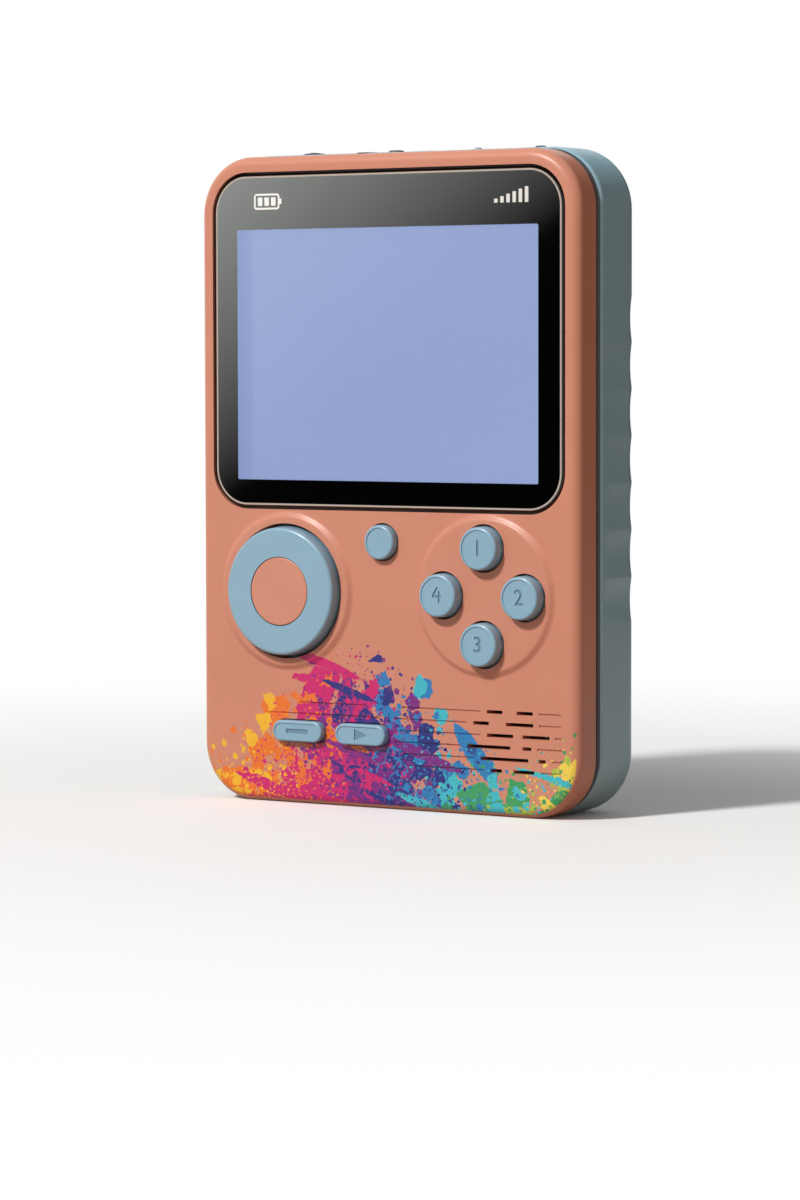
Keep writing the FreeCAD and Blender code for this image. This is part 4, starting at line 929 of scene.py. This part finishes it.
def looseMiddles(piece):  # the middle of each loose part of a mesh, seen from the back
    shape = bmesh.new()
    shape.from_mesh(piece.data)
    waiting = set(shape.verts)
    middles = []
    while waiting:
        reached = [waiting.pop()]
        for vert in reached:
            for edge in vert.link_edges:
                other = edge.other_vert(vert)
                if other in waiting:
                    waiting.remove(other)
                    reached.append(other)
        xs = [vert.co.x for vert in reached]
        zs = [vert.co.z for vert in reached]
        middles.append(((min(xs) + max(xs)) / 2, 0, (min(zs) + max(zs)) / 2))
    shape.free()
    return sorted(middles, key=lambda spot: [round(step, 5) for step in spot])


def crossCutter(node, middles):
    # one cross for each screw, each at its own random turn
    look = screwHead[node]
    g = Grower(node + " crosses", {"Arm": look["arm"], "Slot": look["slot"], "Depth": look["depth"],
                                   "Seed": look["seed"]})
    source = g.tree.interface.new_socket("Places", in_out="INPUT", socket_type="NodeSocketObject")
    twice = g.add("ShaderNodeMath", {"operation": "MULTIPLY"}, {0: "Depth", 1: 2.0})
    size = g.add("ShaderNodeCombineXYZ", inputs={0: "Arm", 1: twice, 2: "Slot"})
    bar = g.add("GeometryNodeMeshCube", inputs={"Size": size})
    turned = g.add("GeometryNodeTransform", inputs={"Geometry": bar, "Rotation": (0, math.pi / 2, 0)})
    cross = g.add("GeometryNodeMeshBoolean", {"operation": "UNION", "solver": "EXACT"}, {"Mesh 2": bar})
    g.tree.links.new(turned.outputs[0], cross.inputs["Mesh 2"])
    places = g.add("GeometryNodeObjectInfo")
    g.tree.links.new(g.inputs.outputs["Places"], places.inputs["Object"])
    turn = g.add("FunctionNodeRandomValue", {"data_type": "FLOAT_VECTOR"},
                 {"Min": (0, 0, 0), "Max": (0, math.pi / 2, 0), "Seed": "Seed"})
    crosses = g.add("GeometryNodeInstanceOnPoints",
                    inputs={"Points": places.outputs["Geometry"], "Instance": cross, "Rotation": turn})
    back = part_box(node)[1].y
    points = bpy.data.meshes.new(node + "_places")
    points.from_pydata([(x, back, z) for x, _, z in middles], [], [])
    holder = addObject(node + "_places", points)
    g.objects = {source.identifier: holder}
    cutter = g.grow(node + "_crosses", crosses, finishes["screw_steel"], Matrix.Identity(4))
    bpy.data.objects.remove(holder)
    return cutter


speaker = speakerMesh()
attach(speaker, "case")
print("speaker mesh:", len(speaker.data.polygons), "faces")
for node in ("charge_port", "player_two_port"):
    strips = socketContacts(node)
    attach(strips, "case")
for node in screwHead:
    probe = mergedCopy(node)
    middles = looseMiddles(probe)
    bpy.data.objects.remove(probe)
    carved(node, crossCutter(node, middles), finishes["screw_steel"])
    print(node + ":", len(middles), "heads crossed")


# Keypads, each with a sheet and a dome under each button

domeWork = {"reach": 3.05 * mm, "ring": 8.5 * mm, "footSinks": 0.7 * mm, "room": 0.12 * mm, "sides": 72}
domesUnder = {  # the joint that presses each dome, the piece above it and its steps aside and up from there
    "pad_keypad": [("pad_tilt_left_right", "direction_pad", 1, 0),
                   ("pad_tilt_left_right", "direction_pad", -1, 0),
                   ("pad_tilt_up_down", "direction_pad", 0, 1),
                   ("pad_tilt_up_down", "direction_pad", 0, -1)],
    "cluster_keypad": [("top_button_press", "face_button_top", 0, 0),
                       ("right_button_press", "face_button_right", 0, 0),
                       ("bottom_button_press", "face_button_bottom", 0, 0),
                       ("left_button_press", "face_button_left", 0, 0)],
    "menu_round_keypad": [("round_menu_press", "menu_round_button", 0, 0)],
    "menu_pill_keypad": [("left_menu_press", "menu_left_button", 0, 0),
                         ("right_menu_press", "menu_right_button", 0, 0)],
}
travel = {joint["name"]: joint["range_m"][1] for joint in frame["joints"] if joint["type"] == "slide"}


def drumCutter(centres, depth):
    shape = bmesh.new()
    reach = domeWork["reach"]
    for centre in centres:
        bmesh.ops.create_cone(
            shape, cap_ends=True, segments=domeWork["sides"], radius1=reach, radius2=reach, depth=depth,
            matrix=Matrix.Translation(centre) @ facingPlayer,
        )
    mesh = bpy.data.meshes.new("drum")
    shape.to_mesh(mesh)
    shape.free()
    return addObject("drum", mesh)


for node, presses in domesUnder.items():
    low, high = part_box(node)
    height = high.y - low.y
    silicone = finishes[slotOf[node]]
    centres = []
    for _, above, stepX, stepZ in presses:
        over = sum(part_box(above), Vector()) / 2
        centres.append(Vector((over.x + stepX * domeWork["ring"], (low.y + high.y) / 2,
                               over.z + stepZ * domeWork["ring"])))
    carved(node, drumCutter(centres, height * 2), silicone)
    for number, (press, centre) in enumerate(zip(presses, centres)):
        dome = carved(node, drumCutter([centre], height * 2), silicone, "INTERSECT")
        dome.name = f"{node}_dome_{number + 1}"
        lowered = height - domeWork["room"]  # a little air under the button above
        foot = Matrix.Translation((0, high.y, 0))
        dome.data.transform(foot @ Matrix.Diagonal((1, lowered / height, 1, 1)) @ foot.inverted())
        keep = 1 - travel.get(press[0], domeWork["footSinks"]) / lowered
        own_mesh(dome)
print("keypads:", len(domesUnder))


# The other CAD nodes keep their shape and get their finish

stoodFor = {node for thing in bpy.data.objects for node in thing.get("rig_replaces", [])}
for node, thing in nodes.items():
    if node in stoodFor:
        continue
    for holder in thing.material_slots:
        holder.material = finishes[slotOf[node]]
print("nodes with their own shape:", len(nodes) - len(stoodFor))


# Studio

lamps = {
    "key_light": {"from": (-0.32, -1.0, 0.95), "away": 3.0, "size": 0.4, "power": 81.0,
                  "colour": (1.0, 0.99, 0.97)},
    "warm_side": {"from": (1.0, -0.25, 0.25), "away": 1.1, "size": 0.6, "power": 0.5,
                  "colour": (1.0, 0.86, 0.76)},
}
studio = {
    "white": (1.0, 1.0, 1.0, 1.0), "fill": (0.235, 0.226, 0.222, 1.0), "floorSeen": (0.99, 0.99, 0.99, 1.0),
    "floorBounce": (0.36, 0.235, 0.16, 1.0), "floorSize": 6.0, "floorBelow": 0.02, "whiteFrom": 0.03,
    "whiteTo": 0.32,
}
card = {  # its band starts on a line through lineX and lineZ, square to normal, and brightens with reach
    "y": -0.9, "x": (-1.05, -0.25), "z": (-0.25, 0.45), "lineX": -0.6775, "lineZ": 0.0216,
    "normal": (-0.5686, 0.8226), "reach": 0.12, "low": 0.1, "high": 6.9, "soft": 2.0, "ends": (0.16, 0.125),
    "tone": (0.96, 1.0, 0.96),
}
darkCard = {"at": (0.23, 0.29), "facing": (-0.551, -0.8345), "half": 0.4, "top": 0.6,
            "tone": tone(10, 10, 11)}
middle = (cadBox[0] + cadBox[1]) / 2


def seenRays(finish):  # 1 for what is seen straight, in a mirror or through glass
    paths = finish.tree.nodes.new("ShaderNodeLightPath")
    kinds = ("Is Camera Ray", "Is Glossy Ray", "Is Transmission Ray")
    camera, glossy, through = [Wire(finish, paths.outputs[name]) for name in kinds]
    return camera.larger(glossy).larger(through)


def areaLight(name, lamp):
    light = bpy.data.lights.new(name, "AREA")
    light.energy = lamp["power"]
    light.shape = "DISK"
    light.size = lamp["size"]
    light.color = lamp["colour"]
    thing = addObject(name, light)
    direction = Vector(lamp["from"]).normalized()
    thing.location = middle + direction * lamp["away"]
    thing.rotation_mode = "QUATERNION"
    thing.rotation_quaternion = direction.to_track_quat("Z", "Y")


def flatSheet(name, corners):
    mesh = bpy.data.meshes.new(name)
    mesh.from_pydata(corners, [], [(0, 1, 2, 3)])
    thing = addObject(name, mesh)
    return thing


def paleFloor():
    half = studio["floorSize"] / 2
    z = -studio["floorBelow"] * mm
    floor = flatSheet("floor", [(-half, -half, z), (half, -half, z), (half, half, z), (-half, half, z)])
    finish = Finish("pale_floor", Roughness=0.7, Specular_IOR_Level=0.2)
    seen = seenRays(finish)
    finish.colour(finish.mix(seen, studio["floorBounce"], studio["floorSeen"]))
    reach = finish.length(finish.join(finish.x, finish.y))
    white = finish.tree.nodes.new("ShaderNodeEmission")
    white.inputs["Color"].default_value = studio["white"]
    finish.showThrough(reach.fade(studio["whiteFrom"] / mm, studio["whiteTo"] / mm) * seen, white)
    floor.data.materials.append(finish.material)


def onlyGloss(sheet):
    sheet.visible_camera = False
    sheet.visible_diffuse = False
    sheet.visible_shadow = False
    sheet.visible_transmission = False


def reflectionCard():
    # a studio card at the left front that only gloss sees: a slanting pale band on black
    (x0, x1), (z0, z1), y = card["x"], card["z"], card["y"]
    sheet = flatSheet("reflection_card", [(x0, y, z0), (x1, y, z0), (x1, y, z1), (x0, y, z1)])
    black = {"Base_Color": (0, 0, 0, 1), "Specular_IOR_Level": 0.0, "Emission_Strength": 1.0}
    finish = Finish("reflection_card", **black)
    acrossX, acrossZ = card["normal"]
    side = (finish.x - card["lineX"] / mm) * acrossX + (finish.z - card["lineZ"] / mm) * acrossZ
    bright = (side / (card["reach"] / mm)).larger(0.0) * (card["high"] - card["low"]) + card["low"]
    past, full = card["ends"]
    level = bright * side.fade(-card["soft"], card["soft"]) * side.fade(past / mm, full / mm)
    finish.feed(finish.shader.inputs["Emission Color"], finish.vector("SCALE", card["tone"], Scale=level))
    sheet.data.materials.append(finish.material)
    onlyGloss(sheet)


def darkSideCard():
    # a black card behind the right side, so that the side wall mirrors no white
    (x, y), (faceX, faceY), half, top = [darkCard[name] for name in ("at", "facing", "half", "top")]
    left, right = (x - faceY * half, y + faceX * half), (x + faceY * half, y - faceX * half)
    sheet = flatSheet("dark_side_card", [(*left, 0), (*right, 0), (*right, top), (*left, top)])
    finish = Finish("dark_card", Base_Color=darkCard["tone"], Roughness=1.0, Specular_IOR_Level=0.0)
    sheet.data.materials.append(finish.material)
    onlyGloss(sheet)


def softWorld():
    world = bpy.data.worlds.new("soft_world")
    bpy.context.scene.world = world
    world.use_nodes = True
    tree = world.node_tree
    tree.nodes.clear()
    paths = tree.nodes.new("ShaderNodeLightPath")
    seen = paths.outputs["Is Camera Ray"]
    for name in ("Is Glossy Ray", "Is Transmission Ray"):
        either = tree.nodes.new("ShaderNodeMath")
        either.operation = "MAXIMUM"
        tree.links.new(seen, either.inputs[0])
        tree.links.new(paths.outputs[name], either.inputs[1])
        seen = either.outputs[0]
    fill = tree.nodes.new("ShaderNodeBackground")
    fill.inputs["Color"].default_value = studio["fill"]
    white = tree.nodes.new("ShaderNodeBackground")
    white.inputs["Color"].default_value = studio["white"]
    both = tree.nodes.new("ShaderNodeMixShader")
    out = tree.nodes.new("ShaderNodeOutputWorld")
    tree.links.new(seen, both.inputs[0])
    tree.links.new(fill.outputs[0], both.inputs[1])
    tree.links.new(white.outputs[0], both.inputs[2])
    tree.links.new(both.outputs[0], out.inputs["Surface"])


paleFloor()
reflectionCard()
darkSideCard()
softWorld()
for name, lamp in lamps.items():
    areaLight(name, lamp)
bpy.context.scene.view_settings.view_transform = "Standard"
print("studio set")


# Camera at the photograph's place

lensView = {"place": (0.413483, -0.628508, 0.079930), "azimuth": 33.5, "elevation": 3.285, "roll": -0.116,
            "focal": 126.63, "sensor": 36.0}


def photoCamera():
    data = bpy.data.cameras.new("photo_camera")
    data.lens = lensView["focal"]
    data.sensor_width = lensView["sensor"]
    made = addObject("photo_camera", data)
    turn, lift, roll = [math.radians(lensView[name]) for name in ("azimuth", "elevation", "roll")]
    back = Vector((math.sin(turn) * math.cos(lift), -math.cos(turn) * math.cos(lift), math.sin(lift)))
    right = (-back).cross(Vector((0, 0, 1))).normalized()
    up = right.cross(-back)
    right, up = right * math.cos(roll) + up * math.sin(roll), up * math.cos(roll) - right * math.sin(roll)
    turned = Matrix((right, up, back)).transposed().to_4x4()
    made.matrix_world = Matrix.Translation(lensView["place"]) @ turned
    bpy.context.scene.camera = made


photoCamera()
print("camera placed")
